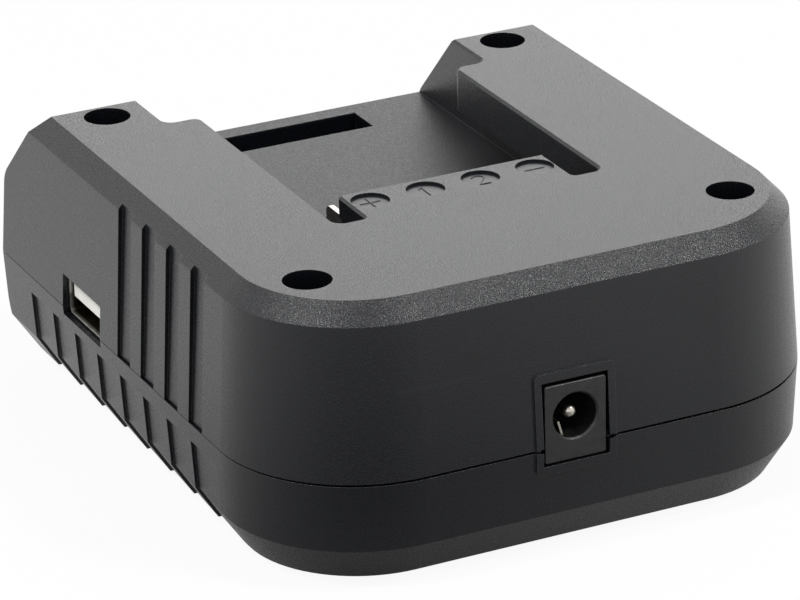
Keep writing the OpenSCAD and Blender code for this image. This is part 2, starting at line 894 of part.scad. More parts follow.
// ---- Circuit board ----

// The board narrows between the front posts, and is drilled for screws and blade legs
module circuit_board() {
  low = z_board - board_t;
  color("#1f5a34") difference() {
    union() {
      block([-x_tab, y_board, low], [x_tab, y_step + cut, z_board]);
      block([-x_board, y_step, low], [x_board, y_board_end, z_board]);
    }
    for (p = stand_places)
      translate([p[0], p[1], low - cut])
        cylinder(d = board_screw_d + 2 * drill_gap, h = board_t + 2 * cut);
    for (x = blade_xs)
      block(
        [x - blade_t / 2 - fit_gap, y_leg - fit_gap, low - cut],
        [x + blade_t / 2 + fit_gap, y_leg + leg_l + fit_gap, z_board + cut]);
  }
}

module board_screws() {
  color("#c4c4c6") for (p = stand_places)
    translate([p[0], p[1], z_board]) screw(board_screw_d, board_screw_l, board_head_d, board_head_h);
}

// ---- Barrel jack ----

// The spring leaf, beside and below the pin, or the slot that holds it
module leaf(grow) {
  translate([leaf_x, y_face + pin_back - grow, z_bore - leaf_drop]) rotate([0, -leaf_tilt, 0])
    block(
      [-leaf_t / 2 - grow, 0, -leaf_h / 2 - grow],
      [leaf_t / 2 + grow, leaf_l + 2 * grow, leaf_h / 2 + grow]);
}

// A square face plate and a barrel behind it, bored from the front
module dc_jack_body() {
  color("#1c1c1e") difference() {
    union() {
      translate([0, y_face + plate_l, z_jack]) rotate([90, 0, 0]) linear_extrude(plate_l)
        rounded(jack_w, jack_h, plate_r);
      block([-barrel_r, y_face + plate_l, z_board], [barrel_r, y_face + jack_l, z_bore]);
      translate([0, y_face + plate_l, z_bore]) rotate([-90, 0, 0])
        cylinder(r = barrel_r, h = jack_l - plate_l);
    }
    translate([0, y_face, z_bore]) rotate([-90, 0, 0]) {
      translate([0, 0, -cut]) {
        cylinder(d = jack_bore, h = jack_depth + cut);
        cylinder(d1 = jack_bore + 2 * (rim_bevel + cut), d2 = jack_bore, h = rim_bevel + cut);
      }
      cylinder(d = shank_d + 2 * press_gap, h = jack_l + cut);
    }
    leaf(leaf_gap);
    translate([0, y_face, z_board + jack_h]) rotate([45, 0, 0])
      cube([jack_w + 2 * cut, face_bevel * sqrt(2), face_bevel * sqrt(2)], center = true);
  }
}

// The pin: a round tip, the stretch in the bore, a thicker shank through the body and a rivet head
module dc_jack_pin() {
  stretch = jack_depth - pin_back - pin_d / 2;
  color("#d8d8da") translate([0, y_face + jack_depth, z_bore]) rotate([-90, 0, 0]) {
    translate([0, 0, -stretch]) {
      cylinder(d = pin_d, h = stretch);
      sphere(d = pin_d);
    }
    cylinder(d = shank_d, h = jack_l - jack_depth + rivet_t);
    translate([0, 0, jack_l - jack_depth]) cylinder(d = 2 * pin_d, h = rivet_t);
  }
}

module dc_jack_spring() {
  color("#d8d8da") leaf(0);
}

// Solder lugs under the pin's rivet head and beside the body
module dc_jack_lugs() {
  lug_t = 0.4;
  lug_w = 2;
  y_lug = y_face + jack_l + rivet_t;
  y_side = y_face + plate_l + 3;
  color("#d8d8da") {
    block([-lug_w / 2, y_lug, z_board], [lug_w / 2, y_lug + lug_t, z_bore - shank_d / 2]);
    block([-barrel_r - lug_t, y_side, z_board], [-barrel_r, y_side + lug_w, z_bore - leaf_drop]);
  }
}

// ---- USB-A socket ----

// The socket's cross-section, extruded inwards from the mouth
module usb_section(inset, length) {
  translate([0, y_usb, z_usb + usb_h / 2]) rotate([90, 0, 90])
    linear_extrude(length) rounded(usb_w - 2 * inset, usb_h - 2 * inset, usb_r - inset);
}

// Folded sheet shell with its latch windows and two solder legs
module usb_shell() {
  window_w = 2.2;
  window_l = 3.3;
  leg_w = 2;
  x_window = x_mouth + usb_base;
  x_leg = x_mouth + usb_l - usb_base;
  color("#d0d0d2") {
    difference() {
      translate([x_mouth, 0, 0]) usb_section(0, usb_l);
      translate([x_mouth - cut, 0, 0]) usb_section(usb_t, usb_l + 2 * cut);
      for (y = [y_usb - usb_w / 4, y_usb + usb_w / 4])
        block(
          [x_window, y - window_w / 2, z_usb - cut],
          [x_window + window_l, y + window_w / 2, z_usb + usb_h + cut]);
    }
    for (y = [y_usb - usb_w / 2, y_usb + usb_w / 2 - usb_t])
      block([x_leg, y, z_board], [x_leg + leg_w, y + usb_t, z_usb + usb_h / 2]);
  }
}

// White body of the socket: a base on the board, a back wall and the tongue
module usb_insulator() {
  x_end = x_mouth + usb_l;
  half = usb_inner / 2;
  color("#f2f2ee") {
    translate([x_end - usb_plug_l, 0, 0]) usb_section(usb_t + blade_gap, usb_plug_l + usb_end_t);
    block(
      [x_mouth + usb_tongue_in, y_usb - half + usb_tongue_side, z_usb_tongue],
      [x_end - cut, y_usb + half - usb_tongue_side, z_usb_tongue + insulator_t]);
    block([x_end, y_usb - half, z_board], [x_end + usb_end_t, y_usb + half, z_usb + usb_h / 2]);
    block([x_mouth + usb_base, y_usb - half, z_board], [x_end + usb_end_t, y_usb + half, z_usb]);
  }
}

// Contacts on the tongue's lower face
module usb_contacts() {
  color("#e3c76a") for (y = usb_contact_ys)
    block(
      [x_mouth + 1.5, y_usb + y - usb_contact_w / 2, z_usb_tongue - usb_contact_t],
      [x_mouth + usb_l - usb_plug_l, y_usb + y + usb_contact_w / 2, z_usb_tongue]);
}

// ---- Battery terminals ----

// Side view of a blade: the contact with its round upper corner, and the leg to the board
module blade_side() {
  y_tip = y_bay + blade_l;
  z_foot = z_board - board_t - leg_below;
  difference() {
    union() {
      translate([y_leg, z_blade]) square([y_tip - y_leg, blade_h]);
      translate([y_leg, z_foot]) square([leg_l, z_blade - z_foot]);
    }
    difference() {
      translate([y_tip - tip_r, z_blade + blade_h - tip_r]) square(2 * tip_r);
      translate([y_tip - tip_r, z_blade + blade_h - tip_r]) circle(tip_r);
    }
  }
}

module blade(x) {
  color("#dcdcde") translate([x, 0, 0]) rotate([90, 0, 90])
    linear_extrude(blade_t, center = true) blade_side();
}

module positive_blade() {
  blade(blade_xs[0]);
}

module charge_blade() {
  blade(blade_xs[1]);
}

module sense_blade() {
  blade(blade_xs[2]);
}

module negative_blade() {
  blade(blade_xs[3]);
}

// Moulded carrier that holds the blades in the bay's front wall
module terminal_carrier() {
  slot = blade_t / 2 + blade_gap;
  color("#262628") difference() {
    union() {
      block([-carrier_x, y_wall - cut, carrier_low], [carrier_x, y_carrier, carrier_top]);
      block(
        [-carrier_x - flange_edge, y_wall - flange_t, carrier_low - flange_edge],
        [carrier_x + flange_edge, y_wall - fit_gap, carrier_top]);
    }
    for (x = blade_xs)
      block(
        [x - slot, y_leg, z_blade - blade_gap],
        [x + slot, y_bay + blade_l, z_blade + blade_h + blade_gap]);
  }
}

// ---- Board parts ----

// A can capacitor with its sleeve's rolled edge, its bead and its recessed end
module capacitor(d, h) {
  r = d / 2;
  edge = 0.4;
  bead = 0.5;
  z_bead = 1.6;
  rim = 1.2;
  sink = 0.2;
  translate([0, 0, z_board]) rotate_extrude()
    polygon([
      [0, 0],
      [r - edge, 0],
      [r, edge],
      [r, z_bead],
      [r - bead, z_bead + bead],
      [r, z_bead + 2 * bead],
      [r, h - edge],
      [r - edge, h],
      [r - rim, h],
      [r - rim, h - sink],
      [0, h - sink]]);
}

module input_capacitor() {
  color("#2b3a55")
    translate([-x_tab + cap_space + input_cap_d / 2, y_step - input_cap_d / 2 - part_gap, 0])
      capacitor(input_cap_d, input_cap_h);
}

module output_capacitor() {
  color("#2b3a55")
    translate([x_tab - cap_space - output_cap_d / 2, y_step - output_cap_d / 2 - part_gap, 0])
      capacitor(output_cap_d, output_cap_h);
}

// Ferrite drum: two rims on a core
module inductor_core() {
  color("#4a4a4c") translate([x_coil, y_coil, z_board]) {
    cylinder(d = coil_d, h = coil_rim);
    cylinder(d = coil_d / 2, h = coil_h);
    translate([0, 0, coil_h - coil_rim]) cylinder(d = coil_d, h = coil_rim);
  }
}

module inductor_winding() {
  inset = 0.8;
  color("#b4652f") translate([x_coil, y_coil, z_board + coil_rim]) difference() {
    cylinder(d = coil_d - 2 * inset, h = coil_h - 2 * coil_rim);
    translate([0, 0, -cut]) cylinder(d = coil_d / 2 + 2 * press_gap, h = coil_h);
  }
}

// Extruded sink beside the bay: a plate with fins towards the louvres
module heat_sink() {
  fin_pitch = (sink_l - fin_t) / (fin_count - 1);
  color("#b4b6ba") difference() {
    translate([0, 0, z_board]) linear_extrude(sink_h) {
      translate([x_sink, y_sink]) square([sink_t, sink_l]);
      for (i = [0:fin_count - 1])
        translate([x_sink, y_sink + i * fin_pitch]) square([sink_end - x_sink, fin_t]);
    }
    translate([x_sink - cut, y_tab_hole, z_tab_hole]) rotate([0, 90, 0])
      cylinder(d = tab_screw_d + 2 * press_gap, h = 2 * cut + sink_t);
  }
}

// Transistor lying on its side, with its tab flat on the heat sink and its three legs bent to the board
module power_transistor() {
  lead_w = 0.8;
  lead_t = 0.5;
  lead_pitch = 2.54;
  x_case = x_sink - case_t;
  color("#2a2a2c") difference() {
    union() {
      block([x_sink - tab_t, y_case, z_case], [x_sink, y_case + case_l + tab_l, z_case + case_w]);
      block([x_case, y_case, z_case], [x_sink - tab_t, y_case + case_l, z_case + case_w]);
      for (i = [1:3]) {
        x = x_case + i * lead_w;
        y = y_case - lead_w * (i + 1);
        z = z_case + case_w / 2 + (i - 2) * lead_pitch;
        block([x, y, z - lead_w / 2], [x + lead_t, y_case, z + lead_w / 2]);
        block([x, y, z_board], [x + lead_t, y + lead_w, z + lead_w / 2]);
      }
    }
    translate([x_sink - tab_t - cut, y_tab_hole, z_tab_hole]) rotate([0, 90, 0])
      cylinder(d = tab_screw_d + 2 * press_gap, h = 2 * cut + tab_t);
  }
}

module transistor_screw() {
  head = 5.5;
  height = 2;
  color("#c4c4c6") translate([x_sink - tab_t, y_tab_hole, z_tab_hole]) rotate([0, -90, 0])
    screw(tab_screw_d, tab_t + sink_t, head, height);
}

// Axial diode on two bent wires
module rectifier_diode() {
  d = 5.2;
  length = 9.2;
  wire = 1.1;
  z_lift = d / 2 + 0.5;
  reach = length / 2 + 2.6;
  color("#1d1d1f") translate([0, y_coil + coil_d / 2 + diode_gap, z_board + z_lift]) {
    rotate([0, 90, 0]) cylinder(d = d, h = length, center = true);
    rotate([0, 90, 0]) cylinder(d = wire, h = 2 * reach, center = true);
    for (x = [-reach, reach]) {
      translate([x, 0, 0]) sphere(d = wire);
      translate([x, 0, -z_lift]) cylinder(d = wire, h = z_lift);
    }
  }
}

// Small round fuse beside the bay's front end
module input_fuse() {
  d = 8.4;
  h = 7.2;
  edge = 0.5;
  color("#5c3a2a") translate([-x_board + 2 * stand_in, y_step + d, z_board]) {
    cylinder(d = d, h = h);
    translate([0, 0, h]) cylinder(d1 = d, d2 = d - 2 * edge, h = edge);
  }
}

// Chip package, raised off the board by its leads
module controller_chip() {
  color("#222224") translate([x_chip, y_coil, z_board])
    block([-chip_w / 2, -chip_l / 2, chip_lift], [chip_w / 2, chip_l / 2, chip_h]);
}

// Bent leads along both long sides of the controller
module chip_leads() {
  pitch = 1.27;
  width = 0.4;
  sheet = 0.2;
  reach = 1;
  rise = 0.9;
  color("#d0d0d2") for (side = [0, 1], i = [-3.5:1:3.5])
    translate([x_chip, y_coil + i * pitch, z_board]) mirror([side, 0, 0]) {
      block([chip_w / 2, -width / 2, 0], [chip_w / 2 + reach, width / 2, sheet]);
      block([chip_w / 2, -width / 2, 0], [chip_w / 2 + sheet, width / 2, rise]);
    }
}

// Converter that feeds the USB socket, moulded with its thermal pad on the board
module usb_converter() {
  w = 4;
  l = 5;
  h = 1.5;
  color("#222224") translate([x_usb_coil + usb_coil_w / 2 + part_gap, y_usb - l / 2, z_board])
    block([0, 0, 0], [w, l, h]);
}

// Square shielded inductor beside the socket
module usb_inductor() {
  h = 4;
  color("#5a5a5e") translate([x_usb_coil, y_usb, z_board])
    linear_extrude(h) rounded(usb_coil_w, usb_coil_w, part_gap);
}

upper_housing();
lower_housing();
housing_screws();
rubber_feet();
circuit_board();
board_screws();
dc_jack_body();
dc_jack_pin();
dc_jack_spring();
dc_jack_lugs();
usb_shell();
usb_insulator();
usb_contacts();
terminal_carrier();
positive_blade();
charge_blade();
sense_blade();
negative_blade();
input_capacitor();
output_capacitor();
inductor_core();
inductor_winding();
heat_sink();
power_transistor();
transistor_screw();
rectifier_diode();
input_fuse();
controller_chip();
chip_leads();
usb_converter();
usb_inductor();
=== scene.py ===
from math import cos, pi, radians, sin

import bmesh
import bpy
from mathutils import Matrix, Vector


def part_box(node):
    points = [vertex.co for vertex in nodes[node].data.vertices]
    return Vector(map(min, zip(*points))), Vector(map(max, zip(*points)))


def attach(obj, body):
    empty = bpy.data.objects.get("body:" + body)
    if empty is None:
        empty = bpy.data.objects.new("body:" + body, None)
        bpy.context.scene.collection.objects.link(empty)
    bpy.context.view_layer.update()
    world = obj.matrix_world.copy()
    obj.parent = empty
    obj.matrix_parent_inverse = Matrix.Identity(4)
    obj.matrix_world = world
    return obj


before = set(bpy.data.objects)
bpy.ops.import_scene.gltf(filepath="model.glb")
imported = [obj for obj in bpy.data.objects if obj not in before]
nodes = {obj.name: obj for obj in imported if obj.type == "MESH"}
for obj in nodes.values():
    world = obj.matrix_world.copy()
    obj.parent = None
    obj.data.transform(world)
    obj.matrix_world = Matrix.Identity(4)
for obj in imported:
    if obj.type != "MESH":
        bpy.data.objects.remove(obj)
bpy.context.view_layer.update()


# ---- Housing shells ----
# Upper and lower shell, moulded in black ABS. The tool's faces were spark-eroded, which leaves
# an even grain of shallow pits: it spreads reflections, and sparkles where a lamp glances off.

MM = 0.001


def linear(code):
    """The linear colour of an sRGB hex value."""
    values = [int(code[i:i + 2], 16) / 255 for i in (0, 2, 4)]
    return [v / 12.92 if v <= 0.04045 else ((v + 0.055) / 1.055) ** 2.4 for v in values] + [1.0]


def material(name, *dressed):
    """A material with no nodes yet, given to the named CAD nodes."""
    made = bpy.data.materials.new(name)
    made.use_nodes = True
    made.node_tree.nodes.clear()
    for node in dressed:
        for slot in nodes[node].material_slots:
            slot.material = made
    return made


def add(owner, kind, inputs=None, **settings):
    """Adds a node to a material or the world, with its settings, its values and its links."""
    tree = owner.node_tree
    node = tree.nodes.new(kind)
    for name, value in settings.items():
        setattr(node, name, value)
    for name, value in (inputs or {}).items():
        if isinstance(value, bpy.types.NodeSocket):
            tree.links.new(value, node.inputs[name])
        else:
            node.inputs[name].default_value = value
    return node


# Moulded ABS: near black, faintly cool, satin, with pits about 0.2 mm across, shallower on upright
# walls so that they leave the tool. A slow change of tone is left by the melt's flow. The bay's
# floor, where the battery slides, is duller. The sharp edges, inner corners too, are painted paler:
# partly wear from handling, partly a painted highlight along the edges.
PIT_WIDE, PIT_DEEP, EDGE_R = 0.17 * MM, 0.08 * MM, 0.1 * MM
BAY_FLOOR, BAY_BAND, BAY_HALF, BAY_DULLER = 28.3 * MM, 0.3 * MM, 25.3 * MM, 0.14
abs_plastic = material("moulded_black_abs", "lower_housing", "upper_housing")
place = add(abs_plastic, "ShaderNodeTexCoord").outputs["Object"]
eroded = add(abs_plastic, "ShaderNodeTexNoise", {
    "Vector": place, "Scale": 1 / PIT_WIDE, "Detail": 2.0, "Roughness": 0.6}).outputs["Fac"]
facing = add(abs_plastic, "ShaderNodeNewGeometry").outputs["True Normal"]
slope = add(abs_plastic, "ShaderNodeSeparateXYZ", {"Vector": facing}).outputs["Z"]
slope = add(abs_plastic, "ShaderNodeMath", {0: slope}, operation="ABSOLUTE")
cut = add(abs_plastic, "ShaderNodeMapRange", {
    "Value": slope.outputs[0], "From Min": 0.1, "From Max": 0.5, "To Min": 0.45, "To Max": 1.0})
grain = add(abs_plastic, "ShaderNodeMix", {
    "Factor": cut.outputs["Result"], "A": 0.5, "B": eroded}).outputs["Result"]
flow = add(abs_plastic, "ShaderNodeTexNoise", {
    "Vector": place, "Scale": 1 / (22 * MM), "Detail": 3.0, "Roughness": 0.55}).outputs["Fac"]
tone = add(abs_plastic, "ShaderNodeMix", {
    "Factor": flow, "A": linear("0a0b10"), "B": linear("0f1116")}, data_type="RGBA")
satin = add(abs_plastic, "ShaderNodeMapRange", {
    "Value": grain, "From Min": 0.3, "From Max": 0.7, "To Min": 0.15, "To Max": 0.42})
spot = add(abs_plastic, "ShaderNodeSeparateXYZ", {"Vector": place}).outputs
level = add(abs_plastic, "ShaderNodeMath", {
    0: spot["Z"], 1: BAY_FLOOR, 2: BAY_BAND}, operation="COMPARE")
offset = add(abs_plastic, "ShaderNodeMath", {0: spot["X"]}, operation="ABSOLUTE")
between = add(abs_plastic, "ShaderNodeMath", {0: offset.outputs[0], 1: BAY_HALF},
              operation="LESS_THAN")
in_bay = add(abs_plastic, "ShaderNodeMath", {0: level.outputs[0], 1: between.outputs[0]},
             operation="MULTIPLY")
satin = add(abs_plastic, "ShaderNodeMath", {
    0: in_bay.outputs[0], 1: BAY_DULLER, 2: satin.outputs["Result"]}, operation="MULTIPLY_ADD")
edge = add(abs_plastic, "ShaderNodeBevel", {"Radius": EDGE_R}, samples=8)
bent = add(abs_plastic, "ShaderNodeVectorMath", {0: edge.outputs["Normal"], 1: facing},
           operation="DOT_PRODUCT")
# Painted highlight and wear: every sharp edge, inner corners included, is mixed towards a pale
# grey.
rubbed = add(abs_plastic, "ShaderNodeMapRange", {
    "Value": bent.outputs["Value"], "From Min": 0.97, "From Max": 0.75, "To Max": 0.8})
tone = add(abs_plastic, "ShaderNodeMix", {
    "Factor": rubbed.outputs["Result"], "A": tone.outputs["Result"], "B": linear("454548")},
    data_type="RGBA")
pits = add(abs_plastic, "ShaderNodeBump", {
    "Height": grain, "Normal": edge.outputs["Normal"], "Strength": 1.0, "Distance": PIT_DEEP})
shader = add(abs_plastic, "ShaderNodeBsdfPrincipled", {
    "Base Color": tone.outputs["Result"], "Roughness": satin.outputs[0],
    "Normal": pits.outputs["Normal"], "IOR": 1.53})
add(abs_plastic, "ShaderNodeOutputMaterial", {"Surface": shader.outputs["BSDF"]})


# ---- Feet ----
# Four discs of natural rubber, pressed into shallow seats under the tray. They are moulded matt,
# and a bloom of wax has greyed them in patches.

# Natural rubber: a matt, neutral black-grey, paler where the wax has come to its skin.
rubber = material("moulded_rubber", "rubber_feet")
place = add(rubber, "ShaderNodeTexCoord").outputs["Object"]
bloom = add(rubber, "ShaderNodeTexNoise", {
    "Vector": place, "Scale": 1 / (3 * MM), "Detail": 4.0, "Roughness": 0.6}).outputs["Fac"]
skin = add(rubber, "ShaderNodeTexNoise", {
    "Vector": place, "Scale": 1 / (0.2 * MM), "Detail": 1.0}).outputs["Fac"]
tone = add(rubber, "ShaderNodeMix", {
    "Factor": bloom, "A": linear("161616"), "B": linear("2c2c2b")}, data_type="RGBA")
matt = add(rubber, "ShaderNodeMapRange", {"Value": bloom, "To Min": 0.72, "To Max": 0.9})
relief = add(rubber, "ShaderNodeBump", {"Height": skin, "Strength": 0.6, "Distance": 0.03 * MM})
shader = add(rubber, "ShaderNodeBsdfPrincipled", {
    "Base Color": tone.outputs["Result"], "Roughness": matt.outputs["Result"],
    "Normal": relief.outputs["Normal"], "IOR": 1.52})
add(rubber, "ShaderNodeOutputMaterial", {"Surface": shader.outputs["BSDF"]})


# ---- Circuit board ----
# FR4, glass cloth in epoxy, 1.6 mm thick, screwed to the tray's stands. Green solder mask lies
# over the copper, which shows through paler. The routed edges are bare and straw-coloured.

MASK_THICK = 0.04 * MM
board_low, board_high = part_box("circuit_board")
board_middle = (board_low[2] + board_high[2]) / 2
mask_reach = (board_high[2] - board_low[2]) / 2 - MASK_THICK

# Solder mask over tracks about 1.2 mm wide, glossy, with the cloth's weave at the bare edges.
laminate = material("solder_masked_fr4", "circuit_board")
place = add(laminate, "ShaderNodeTexCoord").outputs["Object"]
tracks = add(laminate, "ShaderNodeTexBrick", {
    "Vector": place, "Color1": linear("17552f"), "Color2": linear("1b6338"),
    "Mortar": linear("0c3a1f"), "Scale": 1 / MM, "Mortar Size": 0.16, "Mortar Smooth": 0.3,
    "Brick Width": 9.0, "Row Height": 1.4})
weave = add(laminate, "ShaderNodeTexWave", {
    "Vector": place, "Scale": 1 / (6 * MM), "Distortion": 2.0, "Detail": 2.0}, bands_direction="Z")
cloth = add(laminate, "ShaderNodeMix", {
    "Factor": weave.outputs["Fac"], "A": linear("a8925c"), "B": linear("c9b680")}, data_type="RGBA")
height = add(laminate, "ShaderNodeSeparateXYZ", {"Vector": place}).outputs["Z"]
lift = add(laminate, "ShaderNodeMath", {0: height, 1: board_middle}, operation="SUBTRACT")
lift = add(laminate, "ShaderNodeMath", {0: lift.outputs[0]}, operation="ABSOLUTE")
bare = add(laminate, "ShaderNodeMath", {0: lift.outputs[0], 1: mask_reach}, operation="LESS_THAN")
tone = add(laminate, "ShaderNodeMix", {
    "Factor": bare.outputs[0], "A": tracks.outputs["Color"], "B": cloth.outputs["Result"]},
    data_type="RGBA")
gloss = add(laminate, "ShaderNodeMapRange", {
    "Value": bare.outputs[0], "To Min": 0.22, "To Max": 0.7})
relief = add(laminate, "ShaderNodeBump", {
    "Height": tracks.outputs["Fac"], "Strength": 0.5, "Distance": 0.035 * MM}, invert=True)
shader = add(laminate, "ShaderNodeBsdfPrincipled", {
    "Base Color": tone.outputs["Result"], "Roughness": gloss.outputs["Result"],
    "Normal": relief.outputs["Normal"], "IOR": 1.55})
add(laminate, "ShaderNodeOutputMaterial", {"Surface": shader.outputs["BSDF"]})


# ---- Barrel jack ----
# The jack is soldered at the board's front edge. Its body is moulded in black PBT, with a centre
# pin riveted into the back and a spring leaf in a slot of the bore, both nickel-plated brass.

# PBT with glass fibre: a neutral black that the fibre mottles where it lies at the surface.
pbt = material("moulded_black_pbt", "dc_jack_body")
place = add(pbt, "ShaderNodeTexCoord").outputs["Object"]
fibre = add(pbt, "ShaderNodeTexNoise", {
    "Vector": place, "Scale": 1 / (1.1 * MM), "Detail": 4.0, "Roughness": 0.65}).outputs["Fac"]
grain = add(pbt, "ShaderNodeTexNoise", {
    "Vector": place, "Scale": 1 / (0.16 * MM), "Detail": 2.0}).outputs["Fac"]
mottle = add(pbt, "ShaderNodeMapRange", {"Value": fibre, "From Min": 0.35, "From Max": 0.65})
tone = add(pbt, "ShaderNodeMix", {
    "Factor": mottle.outputs["Result"], "A": linear("0e0e0e"), "B": linear("1f1f1f")},
    data_type="RGBA")
satin = add(pbt, "ShaderNodeMapRange", {
    "Value": grain, "From Min": 0.3, "From Max": 0.7, "To Min": 0.5, "To Max": 0.25})
edge = add(pbt, "ShaderNodeBevel", {"Radius": 0.08 * MM}, samples=6)
relief = add(pbt, "ShaderNodeBump", {
    "Height": grain, "Normal": edge.outputs["Normal"], "Strength": 1.0, "Distance": 0.06 * MM})
shader = add(pbt, "ShaderNodeBsdfPrincipled", {
    "Base Color": tone.outputs["Result"], "Roughness": satin.outputs["Result"],
    "Normal": relief.outputs["Normal"], "IOR": 1.57})
add(pbt, "ShaderNodeOutputMaterial", {"Surface": shader.outputs["BSDF"]})

# Nickel plate, warm and bright. The strip was rolled before it was plated, so fine lines run
# along it, about 0.06 mm apart, drawn at 0.15 mm to show.
nickel = material("nickel_plated_brass", "dc_jack_pin", "dc_jack_spring", "dc_jack_lugs",
                  "positive_blade", "charge_blade", "sense_blade", "negative_blade")
place = add(nickel, "ShaderNodeTexCoord").outputs["Object"]
drawn = add(nickel, "ShaderNodeMapping", {"Vector": place, "Scale": (1.0, 0.04, 1.0)})
lines = add(nickel, "ShaderNodeTexNoise", {
    "Vector": drawn.outputs["Vector"], "Scale": 1 / (0.15 * MM), "Detail": 2.0}).outputs["Fac"]
tarnish = add(nickel, "ShaderNodeTexNoise", {
    "Vector": place, "Scale": 1 / (2 * MM), "Detail": 3.0}).outputs["Fac"]
tone = add(nickel, "ShaderNodeMix", {
    "Factor": tarnish, "A": linear("b9b2a5"), "B": linear("dcd8cf")}, data_type="RGBA")
polish = add(nickel, "ShaderNodeMapRange", {
    "Value": lines, "From Min": 0.3, "From Max": 0.7, "To Min": 0.18, "To Max": 0.34})
edge = add(nickel, "ShaderNodeBevel", {"Radius": 0.06 * MM}, samples=4)
relief = add(nickel, "ShaderNodeBump", {
    "Height": lines, "Normal": edge.outputs["Normal"], "Strength": 0.3, "Distance": 0.01 * MM})
shader = add(nickel, "ShaderNodeBsdfPrincipled", {
    "Base Color": tone.outputs["Result"], "Roughness": polish.outputs["Result"],
    "Normal": relief.outputs["Normal"], "Metallic": 1.0})
add(nickel, "ShaderNodeOutputMaterial", {"Surface": shader.outputs["BSDF"]})


# ---- USB socket ----
# A socket for a USB-A plug: a shell folded from tinned steel strip round a white insulator, whose
# tongue carries four gold-flashed contacts. It is soldered to the board with its mouth in the wall.

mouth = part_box("usb_shell")[0][0]

# Tin plate on steel, bright at the socket's mouth. Further in it is darkened to a stained near
# black, which is painted shade. The controller's leads, cut from the same kind of strip, have it
# too.
tin_plate = material("tin_plated_steel", "usb_shell", "chip_leads")
place = add(tin_plate, "ShaderNodeTexCoord").outputs["Object"]
depth = add(tin_plate, "ShaderNodeSeparateXYZ", {"Vector": place}).outputs["X"]
# Painted shade: the tin darkens from 0.1 to 0.6 mm in from the socket's mouth.
tin_painted_shade = add(tin_plate, "ShaderNodeMapRange", {
    "Value": depth, "From Min": mouth + 0.1 * MM, "From Max": mouth + 0.6 * MM})
stain = add(tin_plate, "ShaderNodeTexNoise", {
    "Vector": place, "Scale": 1 / (1.2 * MM), "Detail": 4.0, "Roughness": 0.6}).outputs["Fac"]
tin_shade_colour = add(tin_plate, "ShaderNodeMix", {
    "Factor": stain, "A": linear("28241e"), "B": linear("484236")}, data_type="RGBA")
tone = add(tin_plate, "ShaderNodeMix", {
    "Factor": tin_painted_shade.outputs["Result"], "A": linear("d9d6cf"), "B": tin_shade_colour.outputs["Result"]},
    data_type="RGBA")
polish = add(tin_plate, "ShaderNodeMapRange", {
    "Value": stain, "From Min": 0.3, "From Max": 0.7, "To Min": 0.3, "To Max": 0.48})
shader = add(tin_plate, "ShaderNodeBsdfPrincipled", {
    "Base Color": tone.outputs["Result"], "Roughness": polish.outputs["Result"], "Metallic": 1.0})
add(tin_plate, "ShaderNodeOutputMaterial", {"Surface": shader.outputs["BSDF"]})

# White PBT, a warm white with a satin skin, greyed by painted shade towards the socket's back.
white_pbt = material("moulded_white_pbt", "usb_insulator")
place = add(white_pbt, "ShaderNodeTexCoord").outputs["Object"]
depth = add(white_pbt, "ShaderNodeSeparateXYZ", {"Vector": place}).outputs["X"]
# Painted shade: greyer from 3 to 8 mm in from the socket's mouth.
pbt_painted_shade = add(white_pbt, "ShaderNodeMapRange", {
    "Value": depth, "From Min": mouth + 3 * MM, "From Max": mouth + 8 * MM})
cloud = add(white_pbt, "ShaderNodeTexNoise", {
    "Vector": place, "Scale": 1 / (2 * MM), "Detail": 3.0}).outputs["Fac"]
unshaded_pbt = add(white_pbt, "ShaderNodeMix", {
    "Factor": cloud, "A": linear("f3f0e8"), "B": linear("fbf9f4")}, data_type="RGBA")
tone = add(white_pbt, "ShaderNodeMix", {
    "Factor": pbt_painted_shade.outputs["Result"], "A": unshaded_pbt.outputs["Result"], "B": linear("8d877b")},
    data_type="RGBA")
satin = add(white_pbt, "ShaderNodeMapRange", {"Value": cloud, "To Min": 0.35, "To Max": 0.55})
shader = add(white_pbt, "ShaderNodeBsdfPrincipled", {
    "Base Color": tone.outputs["Result"], "Roughness": satin.outputs["Result"], "IOR": 1.57})
add(white_pbt, "ShaderNodeOutputMaterial", {"Surface": shader.outputs["BSDF"]})

# A flash of gold over nickel, worn where a plug rubs, so that the nickel greys it in streaks.
gold = material("gold_flashed_contact", "usb_contacts")
place = add(gold, "ShaderNodeTexCoord").outputs["Object"]
rubbed = add(gold, "ShaderNodeMapping", {"Vector": place, "Scale": (0.08, 1.0, 1.0)})
wear = add(gold, "ShaderNodeTexNoise", {
    "Vector": rubbed.outputs["Vector"], "Scale": 1 / (0.2 * MM), "Detail": 2.0}).outputs["Fac"]
worn = add(gold, "ShaderNodeMapRange", {"Value": wear, "From Min": 0.5, "From Max": 0.75})
tone = add(gold, "ShaderNodeMix", {
    "Factor": worn.outputs["Result"], "A": linear("e0b04c"), "B": linear("cfc6b0")},
    data_type="RGBA")
polish = add(gold, "ShaderNodeMapRange", {"Value": wear, "To Min": 0.2, "To Max": 0.4})
shader = add(gold, "ShaderNodeBsdfPrincipled", {
    "Base Color": tone.outputs["Result"], "Roughness": polish.outputs["Result"], "Metallic": 1.0})
add(gold, "ShaderNodeOutputMaterial", {"Surface": shader.outputs["BSDF"]})


# ---- Terminal carrier ----
# The block that holds the four blades in the bay's front wall, moulded in black nylon filled
# with glass fibre. The blades, pressed in from behind, have the jack pin's nickel plate.

